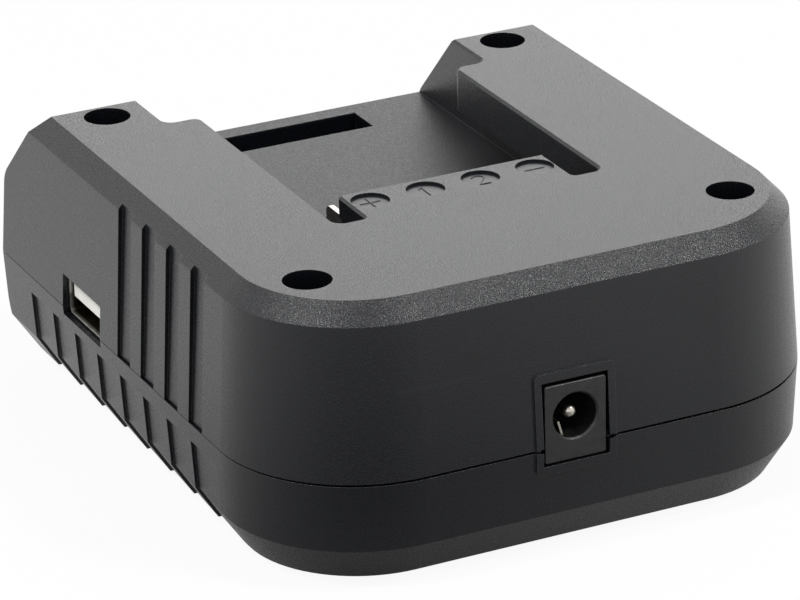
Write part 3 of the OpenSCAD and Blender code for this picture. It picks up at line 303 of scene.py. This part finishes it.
# Glass-filled nylon: short pale fibres, about 0.1 by 0.6 mm where they show, lie along the flow.
nylon = material("glass_filled_nylon", "terminal_carrier")
place = add(nylon, "ShaderNodeTexCoord").outputs["Object"]
along = add(nylon, "ShaderNodeMapping", {"Vector": place, "Scale": (0.2, 1.0, 1.0)})
fibre = add(nylon, "ShaderNodeTexNoise", {
    "Vector": along.outputs["Vector"], "Scale": 1 / (0.12 * MM), "Detail": 2.0}).outputs["Fac"]
shown = add(nylon, "ShaderNodeMapRange", {"Value": fibre, "From Min": 0.58, "From Max": 0.75})
tone = add(nylon, "ShaderNodeMix", {
    "Factor": shown.outputs["Result"], "A": linear("0d0d0e"), "B": linear("2b2b2c")},
    data_type="RGBA")
satin = add(nylon, "ShaderNodeMapRange", {"Value": fibre, "To Min": 0.6, "To Max": 0.42})
relief = add(nylon, "ShaderNodeBump", {"Height": fibre, "Strength": 0.5, "Distance": 0.02 * MM})
shader = add(nylon, "ShaderNodeBsdfPrincipled", {
    "Base Color": tone.outputs["Result"], "Roughness": satin.outputs["Result"],
    "Normal": relief.outputs["Normal"], "IOR": 1.53})
add(nylon, "ShaderNodeOutputMaterial", {"Surface": shader.outputs["BSDF"]})


# ---- Capacitors ----
# Two electrolytic cans stand on the board. A dark sleeve is shrunk over each aluminium can, with
# a pale stripe down its negative side, and leaves the can's end bare.

SLEEVE_CURL, END_DEEP, STRIPE_FROM = 1.1 * MM, 1.0 * MM, 0.85


def shrunk_sleeve(name, node):
    """The sleeve and bare end of one can, as a material centred on it."""
    low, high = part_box(node)
    can = material(name, node)
    centre = [(low[0] + high[0]) / 2, (low[1] + high[1]) / 2, high[2]]
    place = add(can, "ShaderNodeTexCoord").outputs["Object"]
    local = add(can, "ShaderNodeVectorMath", {0: place, 1: centre}, operation="SUBTRACT")
    axes = add(can, "ShaderNodeSeparateXYZ", {"Vector": local.outputs["Vector"]})
    flat = add(can, "ShaderNodeCombineXYZ", {"X": axes.outputs["X"], "Y": axes.outputs["Y"]})
    radius = add(can, "ShaderNodeVectorMath", {0: flat.outputs["Vector"]}, operation="LENGTH")
    rim = (high[0] - low[0]) / 2 - SLEEVE_CURL
    within = add(can, "ShaderNodeMath", {0: radius.outputs["Value"], 1: rim},
                 operation="LESS_THAN")
    near_end = add(can, "ShaderNodeMath", {0: axes.outputs["Z"], 1: -END_DEEP},
                   operation="GREATER_THAN")
    end = add(can, "ShaderNodeMath", {0: within.outputs[0], 1: near_end.outputs[0]},
              operation="MULTIPLY")
    side = add(can, "ShaderNodeMath", {0: axes.outputs["X"], 1: rim * STRIPE_FROM},
               operation="GREATER_THAN")
    scuff = add(can, "ShaderNodeTexNoise", {
        "Vector": place, "Scale": 1 / (1.5 * MM), "Detail": 4.0}).outputs["Fac"]
    sleeve = add(can, "ShaderNodeMix", {
        "Factor": scuff, "A": linear("10182a"), "B": linear("19243a")}, data_type="RGBA")
    striped = add(can, "ShaderNodeMix", {
        "Factor": side.outputs[0], "A": sleeve.outputs["Result"], "B": linear("8f9aa6")},
        data_type="RGBA")
    tone = add(can, "ShaderNodeMix", {
        "Factor": end.outputs[0], "A": striped.outputs["Result"], "B": linear("c8cacc")},
        data_type="RGBA")
    gloss = add(can, "ShaderNodeMapRange", {"Value": scuff, "To Min": 0.25, "To Max": 0.4})
    shader = add(can, "ShaderNodeBsdfPrincipled", {
        "Base Color": tone.outputs["Result"], "Roughness": gloss.outputs["Result"],
        "Metallic": end.outputs[0]})
    add(can, "ShaderNodeOutputMaterial", {"Surface": shader.outputs["BSDF"]})


shrunk_sleeve("input_can_sleeve", "input_capacitor")
shrunk_sleeve("output_can_sleeve", "output_capacitor")


# ---- Inductors ----
# The power inductor is a drum of pressed ferrite with enamelled copper wire wound on it. The
# smaller one beside the USB socket is a closed ferrite block.

# Sintered ferrite: dark grey, matt, with a fine sugary break at its edges.
ferrite = material("sintered_ferrite", "inductor_core", "usb_inductor")
place = add(ferrite, "ShaderNodeTexCoord").outputs["Object"]
grit = add(ferrite, "ShaderNodeTexVoronoi", {"Vector": place, "Scale": 1 / (0.25 * MM)})
smear = add(ferrite, "ShaderNodeTexNoise", {
    "Vector": place, "Scale": 1 / (1.8 * MM), "Detail": 4.0}).outputs["Fac"]
tone = add(ferrite, "ShaderNodeMix", {
    "Factor": smear, "A": linear("2a2b2d"), "B": linear("434548")}, data_type="RGBA")
matt = add(ferrite, "ShaderNodeMapRange", {"Value": smear, "To Min": 0.5, "To Max": 0.75})
relief = add(ferrite, "ShaderNodeBump", {
    "Height": grit.outputs["Distance"], "Strength": 0.4, "Distance": 0.03 * MM})
shader = add(ferrite, "ShaderNodeBsdfPrincipled", {
    "Base Color": tone.outputs["Result"], "Roughness": matt.outputs["Result"],
    "Normal": relief.outputs["Normal"], "IOR": 1.8})
add(ferrite, "ShaderNodeOutputMaterial", {"Surface": shader.outputs["BSDF"]})

# Enamelled wire 0.6 mm thick in level turns: the wave's pitch is one turn, and its dark part is
# painted shade in the groove between two turns.
WIRE_THICK = 0.6 * MM
enamel = material("enamelled_copper_wire", "inductor_winding")
place = add(enamel, "ShaderNodeTexCoord").outputs["Object"]
turns = add(enamel, "ShaderNodeTexWave", {
    "Vector": place, "Scale": pi / (10 * WIRE_THICK)}, bands_direction="Z").outputs["Fac"]
shade = add(enamel, "ShaderNodeTexNoise", {
    "Vector": place, "Scale": 1 / (1.5 * MM), "Detail": 2.0}).outputs["Fac"]
copper = add(enamel, "ShaderNodeMix", {
    "Factor": shade, "A": linear("a4522a"), "B": linear("bd6a36")}, data_type="RGBA")
# The dark colour of the grooves is painted shade.
tone = add(enamel, "ShaderNodeMix", {
    "Factor": turns, "A": linear("4a1e0d"), "B": copper.outputs["Result"]}, data_type="RGBA")
gloss = add(enamel, "ShaderNodeMapRange", {"Value": shade, "To Min": 0.2, "To Max": 0.35})
relief = add(enamel, "ShaderNodeBump", {
    "Height": turns, "Strength": 1.0, "Distance": WIRE_THICK / 2})
shader = add(enamel, "ShaderNodeBsdfPrincipled", {
    "Base Color": tone.outputs["Result"], "Roughness": gloss.outputs["Result"],
    "Normal": relief.outputs["Normal"], "Metallic": 0.8})
add(enamel, "ShaderNodeOutputMaterial", {"Surface": shader.outputs["BSDF"]})


# ---- Heat sink and power transistor ----
# A finned length of extruded aluminium stands on the board. The transistor's metal tab is screwed
# flat against it, and its case is moulded in black epoxy.

# Extruded aluminium, left plain: die lines run up the fins, 0.1 mm apart, drawn at 0.2 mm.
extruded = material("extruded_aluminium", "heat_sink")
place = add(extruded, "ShaderNodeTexCoord").outputs["Object"]
upward = add(extruded, "ShaderNodeMapping", {"Vector": place, "Scale": (1.0, 1.0, 0.02)})
lines = add(extruded, "ShaderNodeTexNoise", {
    "Vector": upward.outputs["Vector"], "Scale": 1 / (0.2 * MM), "Detail": 2.0}).outputs["Fac"]
oxide = add(extruded, "ShaderNodeTexNoise", {
    "Vector": place, "Scale": 1 / (4 * MM), "Detail": 3.0}).outputs["Fac"]
tone = add(extruded, "ShaderNodeMix", {
    "Factor": oxide, "A": linear("b9bcbf"), "B": linear("cfd1d3")}, data_type="RGBA")
polish = add(extruded, "ShaderNodeMapRange", {"Value": lines, "To Min": 0.28, "To Max": 0.5})
relief = add(extruded, "ShaderNodeBump", {"Height": lines, "Strength": 0.5, "Distance": 0.02 * MM})
shader = add(extruded, "ShaderNodeBsdfPrincipled", {
    "Base Color": tone.outputs["Result"], "Roughness": polish.outputs["Result"],
    "Normal": relief.outputs["Normal"], "Metallic": 1.0})
add(extruded, "ShaderNodeOutputMaterial", {"Surface": shader.outputs["BSDF"]})

# Epoxy moulding compound on a tinned copper tab. The tab is the 1.3 mm next to the sink, and the
# legs are what lies below the case.
TAB_THICK, LEG_TOP = 1.3 * MM, 14.7 * MM
tab_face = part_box("power_transistor")[1][0] - TAB_THICK
power_case = material("epoxy_on_tinned_tab", "power_transistor")
place = add(power_case, "ShaderNodeTexCoord").outputs["Object"]
axes = add(power_case, "ShaderNodeSeparateXYZ", {"Vector": place})
tab = add(power_case, "ShaderNodeMath", {0: axes.outputs["X"], 1: tab_face},
          operation="GREATER_THAN")
leg = add(power_case, "ShaderNodeMath", {0: axes.outputs["Z"], 1: LEG_TOP},
          operation="LESS_THAN")
metal = add(power_case, "ShaderNodeMath", {0: tab.outputs[0], 1: leg.outputs[0]},
            operation="MAXIMUM")
grain = add(power_case, "ShaderNodeTexNoise", {
    "Vector": place, "Scale": 1 / (0.25 * MM), "Detail": 3.0}).outputs["Fac"]
compound = add(power_case, "ShaderNodeMix", {
    "Factor": grain, "A": linear("18191b"), "B": linear("232427")}, data_type="RGBA")
tone = add(power_case, "ShaderNodeMix", {
    "Factor": metal.outputs[0], "A": compound.outputs["Result"], "B": linear("c4c1ba")},
    data_type="RGBA")
skin = add(power_case, "ShaderNodeMapRange", {"Value": grain, "To Min": 0.35, "To Max": 0.6})
relief = add(power_case, "ShaderNodeBump", {
    "Height": grain, "Strength": 0.4, "Distance": 0.02 * MM})
shader = add(power_case, "ShaderNodeBsdfPrincipled", {
    "Base Color": tone.outputs["Result"], "Roughness": skin.outputs["Result"],
    "Normal": relief.outputs["Normal"], "Metallic": metal.outputs[0]})
add(power_case, "ShaderNodeOutputMaterial", {"Surface": shader.outputs["BSDF"]})


# ---- Diode and fuse ----
# The rectifier diode lies across the board on its tinned wires, an epoxy barrel with a silver
# band at its cathode. The input fuse is a round cartridge moulded in brown phenolic.

# Epoxy, charcoal and satin, with the band printed in silver paint and the wires' bright tin.
BARREL_HALF, BAND_NEAR, BAND_FAR = 4.6 * MM, 2.6 * MM, 3.8 * MM
axial = material("banded_epoxy_barrel", "rectifier_diode")
place = add(axial, "ShaderNodeTexCoord").outputs["Object"]
across = add(axial, "ShaderNodeSeparateXYZ", {"Vector": place}).outputs["X"]
past_near = add(axial, "ShaderNodeMath", {0: across, 1: BAND_NEAR}, operation="GREATER_THAN")
before_far = add(axial, "ShaderNodeMath", {0: across, 1: BAND_FAR}, operation="LESS_THAN")
band = add(axial, "ShaderNodeMath", {0: past_near.outputs[0], 1: before_far.outputs[0]},
           operation="MULTIPLY")
reach = add(axial, "ShaderNodeMath", {0: across}, operation="ABSOLUTE")
wire = add(axial, "ShaderNodeMath", {0: reach.outputs[0], 1: BARREL_HALF}, operation="GREATER_THAN")
grain = add(axial, "ShaderNodeTexNoise", {
    "Vector": place, "Scale": 1 / (0.3 * MM), "Detail": 3.0}).outputs["Fac"]
compound = add(axial, "ShaderNodeMix", {
    "Factor": grain, "A": linear("17181a"), "B": linear("242528")}, data_type="RGBA")
banded = add(axial, "ShaderNodeMix", {
    "Factor": band.outputs[0], "A": compound.outputs["Result"], "B": linear("b4b6b8")},
    data_type="RGBA")
tone = add(axial, "ShaderNodeMix", {
    "Factor": wire.outputs[0], "A": banded.outputs["Result"], "B": linear("c9c7c1")},
    data_type="RGBA")
skin = add(axial, "ShaderNodeMapRange", {"Value": grain, "To Min": 0.3, "To Max": 0.5})
shader = add(axial, "ShaderNodeBsdfPrincipled", {
    "Base Color": tone.outputs["Result"], "Roughness": skin.outputs["Result"],
    "Metallic": wire.outputs[0]})
add(axial, "ShaderNodeOutputMaterial", {"Surface": shader.outputs["BSDF"]})

# Phenolic: deep brown, with resin swirls and a glossy skin.
phenolic = material("brown_phenolic", "input_fuse")
place = add(phenolic, "ShaderNodeTexCoord").outputs["Object"]
swirl = add(phenolic, "ShaderNodeTexNoise", {
    "Vector": place, "Scale": 1 / (2.5 * MM), "Detail": 4.0, "Distortion": 1.5}).outputs["Fac"]
tone = add(phenolic, "ShaderNodeMix", {
    "Factor": swirl, "A": linear("2a130c"), "B": linear("4a2416")}, data_type="RGBA")
gloss = add(phenolic, "ShaderNodeMapRange", {"Value": swirl, "To Min": 0.25, "To Max": 0.45})
shader = add(phenolic, "ShaderNodeBsdfPrincipled", {
    "Base Color": tone.outputs["Result"], "Roughness": gloss.outputs["Result"], "IOR": 1.6})
add(phenolic, "ShaderNodeOutputMaterial", {"Surface": shader.outputs["BSDF"]})


# ---- Controller and USB converter ----
# Two chips in moulded epoxy cases. A round dimple marks the controller's first lead, and the
# controller stands on sixteen tinned leads.

# Epoxy filled with silica: a dull charcoal. The dimple is smooth, because a pin pressed it.
DIMPLE_IN, DIMPLE_BACK, DIMPLE_R, DIMPLE_EDGE = 0.8 * MM, 0.9 * MM, 0.3 * MM, 0.1 * MM
chip_case = material("moulded_chip_epoxy", "controller_chip", "usb_converter")
place = add(chip_case, "ShaderNodeTexCoord").outputs["Object"]
grain = add(chip_case, "ShaderNodeTexNoise", {
    "Vector": place, "Scale": 1 / (0.15 * MM), "Detail": 3.0}).outputs["Fac"]
chip_low, chip_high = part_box("controller_chip")
mark = [chip_low[0] + DIMPLE_IN, chip_high[1] - DIMPLE_BACK, chip_high[2]]
away = add(chip_case, "ShaderNodeVectorMath", {0: place, 1: mark}, operation="DISTANCE")
dimple = add(chip_case, "ShaderNodeMapRange", {
    "Value": away.outputs["Value"], "From Min": DIMPLE_R, "From Max": DIMPLE_R + DIMPLE_EDGE})
tone = add(chip_case, "ShaderNodeMix", {
    "Factor": grain, "A": linear("1b1c1e"), "B": linear("292a2d")}, data_type="RGBA")
skin = add(chip_case, "ShaderNodeMapRange", {
    "Value": dimple.outputs["Result"], "To Min": 0.2, "To Max": 0.55})
relief = add(chip_case, "ShaderNodeBump", {
    "Height": dimple.outputs["Result"], "Strength": 1.0, "Distance": 0.1 * MM})
shader = add(chip_case, "ShaderNodeBsdfPrincipled", {
    "Base Color": tone.outputs["Result"], "Roughness": skin.outputs["Result"],
    "Normal": relief.outputs["Normal"]})
add(chip_case, "ShaderNodeOutputMaterial", {"Surface": shader.outputs["BSDF"]})


# ---- Screws ----
# Pan head screws with a cross recess: four hold the shells together from above, four hold the
# board, and one holds the transistor. They are steel, cold headed, rolled and zinc plated.

# Zinc plate: a cloudy grey metal, faintly blue, with dull and bright patches.
zinc = material("zinc_plated_steel", "housing_screws", "board_screws", "transistor_screw")
place = add(zinc, "ShaderNodeTexCoord").outputs["Object"]
spangle = add(zinc, "ShaderNodeTexNoise", {
    "Vector": place, "Scale": 1 / (0.5 * MM), "Detail": 4.0, "Roughness": 0.65}).outputs["Fac"]
tone = add(zinc, "ShaderNodeMix", {
    "Factor": spangle, "A": linear("8f959b"), "B": linear("c3c6c6")}, data_type="RGBA")
polish = add(zinc, "ShaderNodeMapRange", {"Value": spangle, "To Min": 0.28, "To Max": 0.5})
relief = add(zinc, "ShaderNodeBump", {"Height": spangle, "Strength": 0.3, "Distance": 0.02 * MM})
shader = add(zinc, "ShaderNodeBsdfPrincipled", {
    "Base Color": tone.outputs["Result"], "Roughness": polish.outputs["Result"],
    "Normal": relief.outputs["Normal"], "Metallic": 1.0})
add(zinc, "ShaderNodeOutputMaterial", {"Surface": shader.outputs["BSDF"]})


# ---- Tongue lips ----
# A lip runs down each side of the tongue to the terminal carrier's top, and keeps dust from the
# blades' roots. Both are moulded with the upper shell, in its black ABS.

LIP_IN, LIP_OUT = 14.7 * MM, 15.58 * MM
LIP_ROOT, LIP_TIP = -19.2 * MM, -10.2 * MM
LIP_LOW, LIP_HIGH = 37.15 * MM, 38.05 * MM
LIP_TIP_R, LIP_EDGE_R, NEAR = 0.45 * MM, 0.12 * MM, 0.01 * MM
lips = bmesh.new()
for side in (-1, 1):
    middle = Vector((side * (LIP_IN + LIP_OUT), LIP_ROOT + LIP_TIP, LIP_LOW + LIP_HIGH)) / 2
    size = Vector((LIP_OUT - LIP_IN, LIP_TIP - LIP_ROOT, LIP_HIGH - LIP_LOW))
    bmesh.ops.create_cube(lips, size=1.0, matrix=Matrix.LocRotScale(middle, None, size))
tips = [e for e in lips.edges
        if all(abs(v.co.x) > LIP_OUT - NEAR and v.co.y > LIP_TIP - NEAR for v in e.verts)]
bmesh.ops.bevel(lips, geom=tips, offset=LIP_TIP_R, segments=6, affect="EDGES", profile=0.5,
                material=-1)
rims = [e for e in lips.edges if all(v.co.z < LIP_LOW + NEAR for v in e.verts)]
bmesh.ops.bevel(lips, geom=rims, offset=LIP_EDGE_R, segments=2, affect="EDGES", profile=0.5,
                material=-1)
bmesh.ops.recalc_face_normals(lips, faces=lips.faces)
tongue_lips = bpy.data.objects.new("tongue_lips", bpy.data.meshes.new("tongue_lips"))
lips.to_mesh(tongue_lips.data)
lips.free()
bpy.context.scene.collection.objects.link(tongue_lips)
tongue_lips.data.materials.append(abs_plastic)
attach(tongue_lips, "root")


# ---- Terminal marks ----
# Plain marks over the four blades: plus, one, two and minus. Each is a fine rib on a thin round
# field that lifts the floor of its recess, moulded with the shell and cut into its tool.

# The same ABS from a polished insert: no pits, only the faint ripple of the insert's lapping,
# about 0.8 mm long.
lapped_abs = material("lapped_black_abs")
place = add(lapped_abs, "ShaderNodeTexCoord").outputs["Object"]
ripple = add(lapped_abs, "ShaderNodeTexNoise", {
    "Vector": place, "Scale": 1 / (0.8 * MM), "Detail": 2.0}).outputs["Fac"]
tone = add(lapped_abs, "ShaderNodeMix", {
    "Factor": ripple, "A": linear("0b0c12"), "B": linear("111319")}, data_type="RGBA")
satin = add(lapped_abs, "ShaderNodeMapRange", {"Value": ripple, "To Min": 0.26, "To Max": 0.38})
relief = add(lapped_abs, "ShaderNodeBump", {
    "Height": ripple, "Strength": 0.3, "Distance": 0.02 * MM})
shader = add(lapped_abs, "ShaderNodeBsdfPrincipled", {
    "Base Color": tone.outputs["Result"], "Roughness": satin.outputs["Result"],
    "Normal": relief.outputs["Normal"], "IOR": 1.53})
add(lapped_abs, "ShaderNodeOutputMaterial", {"Surface": shader.outputs["BSDF"]})

# Each rib's points, in millimetres from the middle of its recess.
MARKS = {
    -12.45: [[(-1.5, 0), (1.5, 0)], [(0, -1.5), (0, 1.5)]],
    -4.15: [[(-0.5, 1.0), (0, 1.5), (0, -1.5)]],
    4.15: [[(-0.8, 1.1), (-0.3, 1.5), (0.4, 1.5), (0.8, 1.1), (0.8, 0.5), (-0.8, -1.5),
            (0.9, -1.5)]],
    12.45: [[(-1.5, 0), (1.5, 0)]]}
MARK_Y, MARK_FLOOR, RIB_R = -13.875, 39.6, 0.11
FIELD_R, FIELD_HIGH = 2.68, 0.33
ribs = bpy.data.curves.new("terminal_marks", "CURVE")
ribs.dimensions = "3D"
ribs.bevel_depth, ribs.bevel_resolution, ribs.use_fill_caps = RIB_R * MM, 2, True
for x, strokes in MARKS.items():
    for stroke in strokes:
        rib = ribs.splines.new("POLY")
        rib.points.add(len(stroke) - 1)
        for point, (right, up) in zip(rib.points, stroke):
            point.co = ((x + right) * MM, (MARK_Y + up) * MM, (MARK_FLOOR + FIELD_HIGH) * MM, 1.0)
pattern = bpy.data.objects.new("pattern", ribs)
bpy.context.scene.collection.objects.link(pattern)
bpy.context.view_layer.update()
finished = pattern.evaluated_get(bpy.context.evaluated_depsgraph_get())
solid = bpy.data.meshes.new_from_object(finished)
bpy.data.objects.remove(pattern)
fields = bmesh.new()
for x in MARKS:
    bmesh.ops.create_cone(
        fields, cap_ends=True, segments=64, radius1=FIELD_R * MM, radius2=FIELD_R * MM,
        depth=FIELD_HIGH * MM,
        matrix=Matrix.Translation(Vector((x, MARK_Y, MARK_FLOOR + FIELD_HIGH / 2)) * MM))
fields.from_mesh(solid)
bmesh.ops.recalc_face_normals(fields, faces=fields.faces)
fields.to_mesh(solid)
fields.free()
marks = bpy.data.objects.new("terminal_marks", solid)
bpy.context.scene.collection.objects.link(marks)
marks.data.materials.clear()
marks.data.materials.append(lapped_abs)
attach(marks, "root")


# ---- Studio ----
# A sheet of white paper lies under the object and keeps its faint shadow, just below the feet. A
# white surround, two small soft lamps overhead and a lit panel behind give the light.

FLOOR_HALF, FLOOR_DROP = 3.0, 0.02 * MM
sheet = bmesh.new()
bmesh.ops.create_grid(sheet, x_segments=1, y_segments=1, size=FLOOR_HALF)
bmesh.ops.translate(sheet, vec=(0, 0, -FLOOR_DROP), verts=sheet.verts)
floor = bpy.data.objects.new("studio_floor", bpy.data.meshes.new("studio_floor"))
sheet.to_mesh(floor.data)
sheet.free()
bpy.context.scene.collection.objects.link(floor)

# Matt white paper. To the camera it is shown paler than it is lit, so that the shadow on it stays
# faint. In reflections it is as pale all round, but for a soft patch of painted shade before the
# object, on the camera's side.
PAINTED_SHADE_AT = (-49 * MM, -104 * MM, 0.0)
PAINTED_SHADE_IN, PAINTED_SHADE_OUT, PAPER_LEVEL = 30 * MM, 146 * MM, 0.9
MIRRORED_SHARE, SHOWN_SHARE = 0.85, 0.93
paper = material("studio_paper")
floor.data.materials.append(paper)
rays = add(paper, "ShaderNodeLightPath").outputs
mirrored = add(paper, "ShaderNodeMath", {
    0: rays["Is Glossy Ray"], 1: rays["Is Transmission Ray"]}, operation="MAXIMUM")
mirrored = add(paper, "ShaderNodeMath", {0: mirrored.outputs[0], 1: MIRRORED_SHARE},
               operation="MULTIPLY")
shown = add(paper, "ShaderNodeMath", {0: rays["Is Camera Ray"], 1: SHOWN_SHARE},
            operation="MULTIPLY")
share = add(paper, "ShaderNodeMath", {0: mirrored.outputs[0], 1: shown.outputs[0]},
            operation="MAXIMUM")
place = add(paper, "ShaderNodeTexCoord").outputs["Object"]
# Painted shade: in reflections the paper darkens towards the patch's centre, before the object.
away = add(paper, "ShaderNodeVectorMath", {0: place, 1: PAINTED_SHADE_AT}, operation="DISTANCE")
shaded = add(paper, "ShaderNodeMapRange", {
    "Value": away.outputs["Value"], "From Min": PAINTED_SHADE_IN, "From Max": PAINTED_SHADE_OUT,
    "To Min": 0.0, "To Max": PAPER_LEVEL})
level = add(paper, "ShaderNodeMath", {
    0: shaded.outputs["Result"], 1: rays["Is Camera Ray"]}, operation="MAXIMUM")
matt = add(paper, "ShaderNodeBsdfDiffuse", {"Color": linear("f4f4f4")})
pale = add(paper, "ShaderNodeEmission", {"Color": linear("ffffff"), "Strength": level.outputs[0]})
mixed = add(paper, "ShaderNodeMixShader", {
    0: share.outputs[0], 1: matt.outputs["BSDF"], 2: pale.outputs["Emission"]})
add(paper, "ShaderNodeOutputMaterial", {"Surface": mixed.outputs["Shader"]})

# The surround: a white cove under a grey ceiling. It is white to the camera and in reflections,
# and softer as a light.
COVE_TOP, CEILING_FROM = 0.6, 0.85
CEILING_LEVEL, FILL_LEVEL = 0.25, 0.35
world = bpy.data.worlds.new("studio_surround")
bpy.context.scene.world = world
world.use_nodes = True
world.node_tree.nodes.clear()
rays = add(world, "ShaderNodeLightPath").outputs
seen = add(world, "ShaderNodeMath", {
    0: rays["Is Camera Ray"], 1: rays["Is Glossy Ray"]}, operation="MAXIMUM")
seen = add(world, "ShaderNodeMath", {
    0: seen.outputs[0], 1: rays["Is Transmission Ray"]}, operation="MAXIMUM")
place = add(world, "ShaderNodeTexCoord").outputs["Generated"]
raised = add(world, "ShaderNodeSeparateXYZ", {"Vector": place}).outputs["Z"]
cove = add(world, "ShaderNodeMapRange", {
    "Value": raised, "From Min": COVE_TOP, "From Max": CEILING_FROM,
    "To Min": 1.0, "To Max": CEILING_LEVEL})
level = add(world, "ShaderNodeMapRange", {
    "Value": seen.outputs[0], "To Min": FILL_LEVEL, "To Max": cove.outputs["Result"]})
sky = add(world, "ShaderNodeBackground", {
    "Color": linear("ffffff"), "Strength": level.outputs["Result"]})
add(world, "ShaderNodeOutputWorld", {"Surface": sky.outputs["Background"]})

# The lamps: the two small ones glance off the front and corner bevels, and the panel behind lights
# the top. All three point at the object's middle.
LAMP_AIM = Vector((0, 0, 20)) * MM


def lamp(name, direction, distance, width, height, power):
    """A soft rectangular lamp that faces the object from a direction, sizes in metres."""
    light = bpy.data.lights.new(name, "AREA")
    light.shape = "RECTANGLE"
    light.size, light.size_y, light.energy = width, height, power
    made = bpy.data.objects.new(name, light)
    towards = Vector(direction).normalized()
    made.location = LAMP_AIM + towards * distance
    made.rotation_euler = towards.to_track_quat("Z", "Y").to_euler()
    bpy.context.scene.collection.objects.link(made)


lamp("front_lamp", (0.39, -0.46, 0.80), 1.0, 0.15, 0.15, 4.1)
lamp("side_lamp", (-0.55, -0.11, 0.83), 1.0, 0.15, 0.15, 4.5)
lamp("rear_panel", (0.585, 0.75, 0.30), 1.1, 1.2, 0.6, 3.25)

# The camera: a long lens, a little above the front left corner, hardly rolled.
YAW, PITCH, ROLL = radians(25.219), radians(23.296), radians(-1.582)
CAMERA_AT = Vector((-255.42, -538.325, 274.44)) * MM
ahead = Vector((sin(YAW) * cos(PITCH), cos(YAW) * cos(PITCH), -sin(PITCH)))
right = ahead.cross(Vector((0, 0, 1))).normalized()
up = right.cross(ahead)
rolled_right = cos(ROLL) * right + sin(ROLL) * up
rolled_up = cos(ROLL) * up - sin(ROLL) * right
camera = bpy.data.objects.new("camera", bpy.data.cameras.new("camera"))
camera.data.sensor_width = 36.0
camera.data.lens = 208.523
camera.data.clip_start, camera.data.clip_end = 0.01, 20.0
camera.matrix_world = Matrix((rolled_right, rolled_up, -ahead)).transposed().to_4x4()
camera.location = CAMERA_AT
bpy.context.scene.collection.objects.link(camera)
bpy.context.scene.camera = camera
bpy.context.scene.view_settings.view_transform = "Standard"
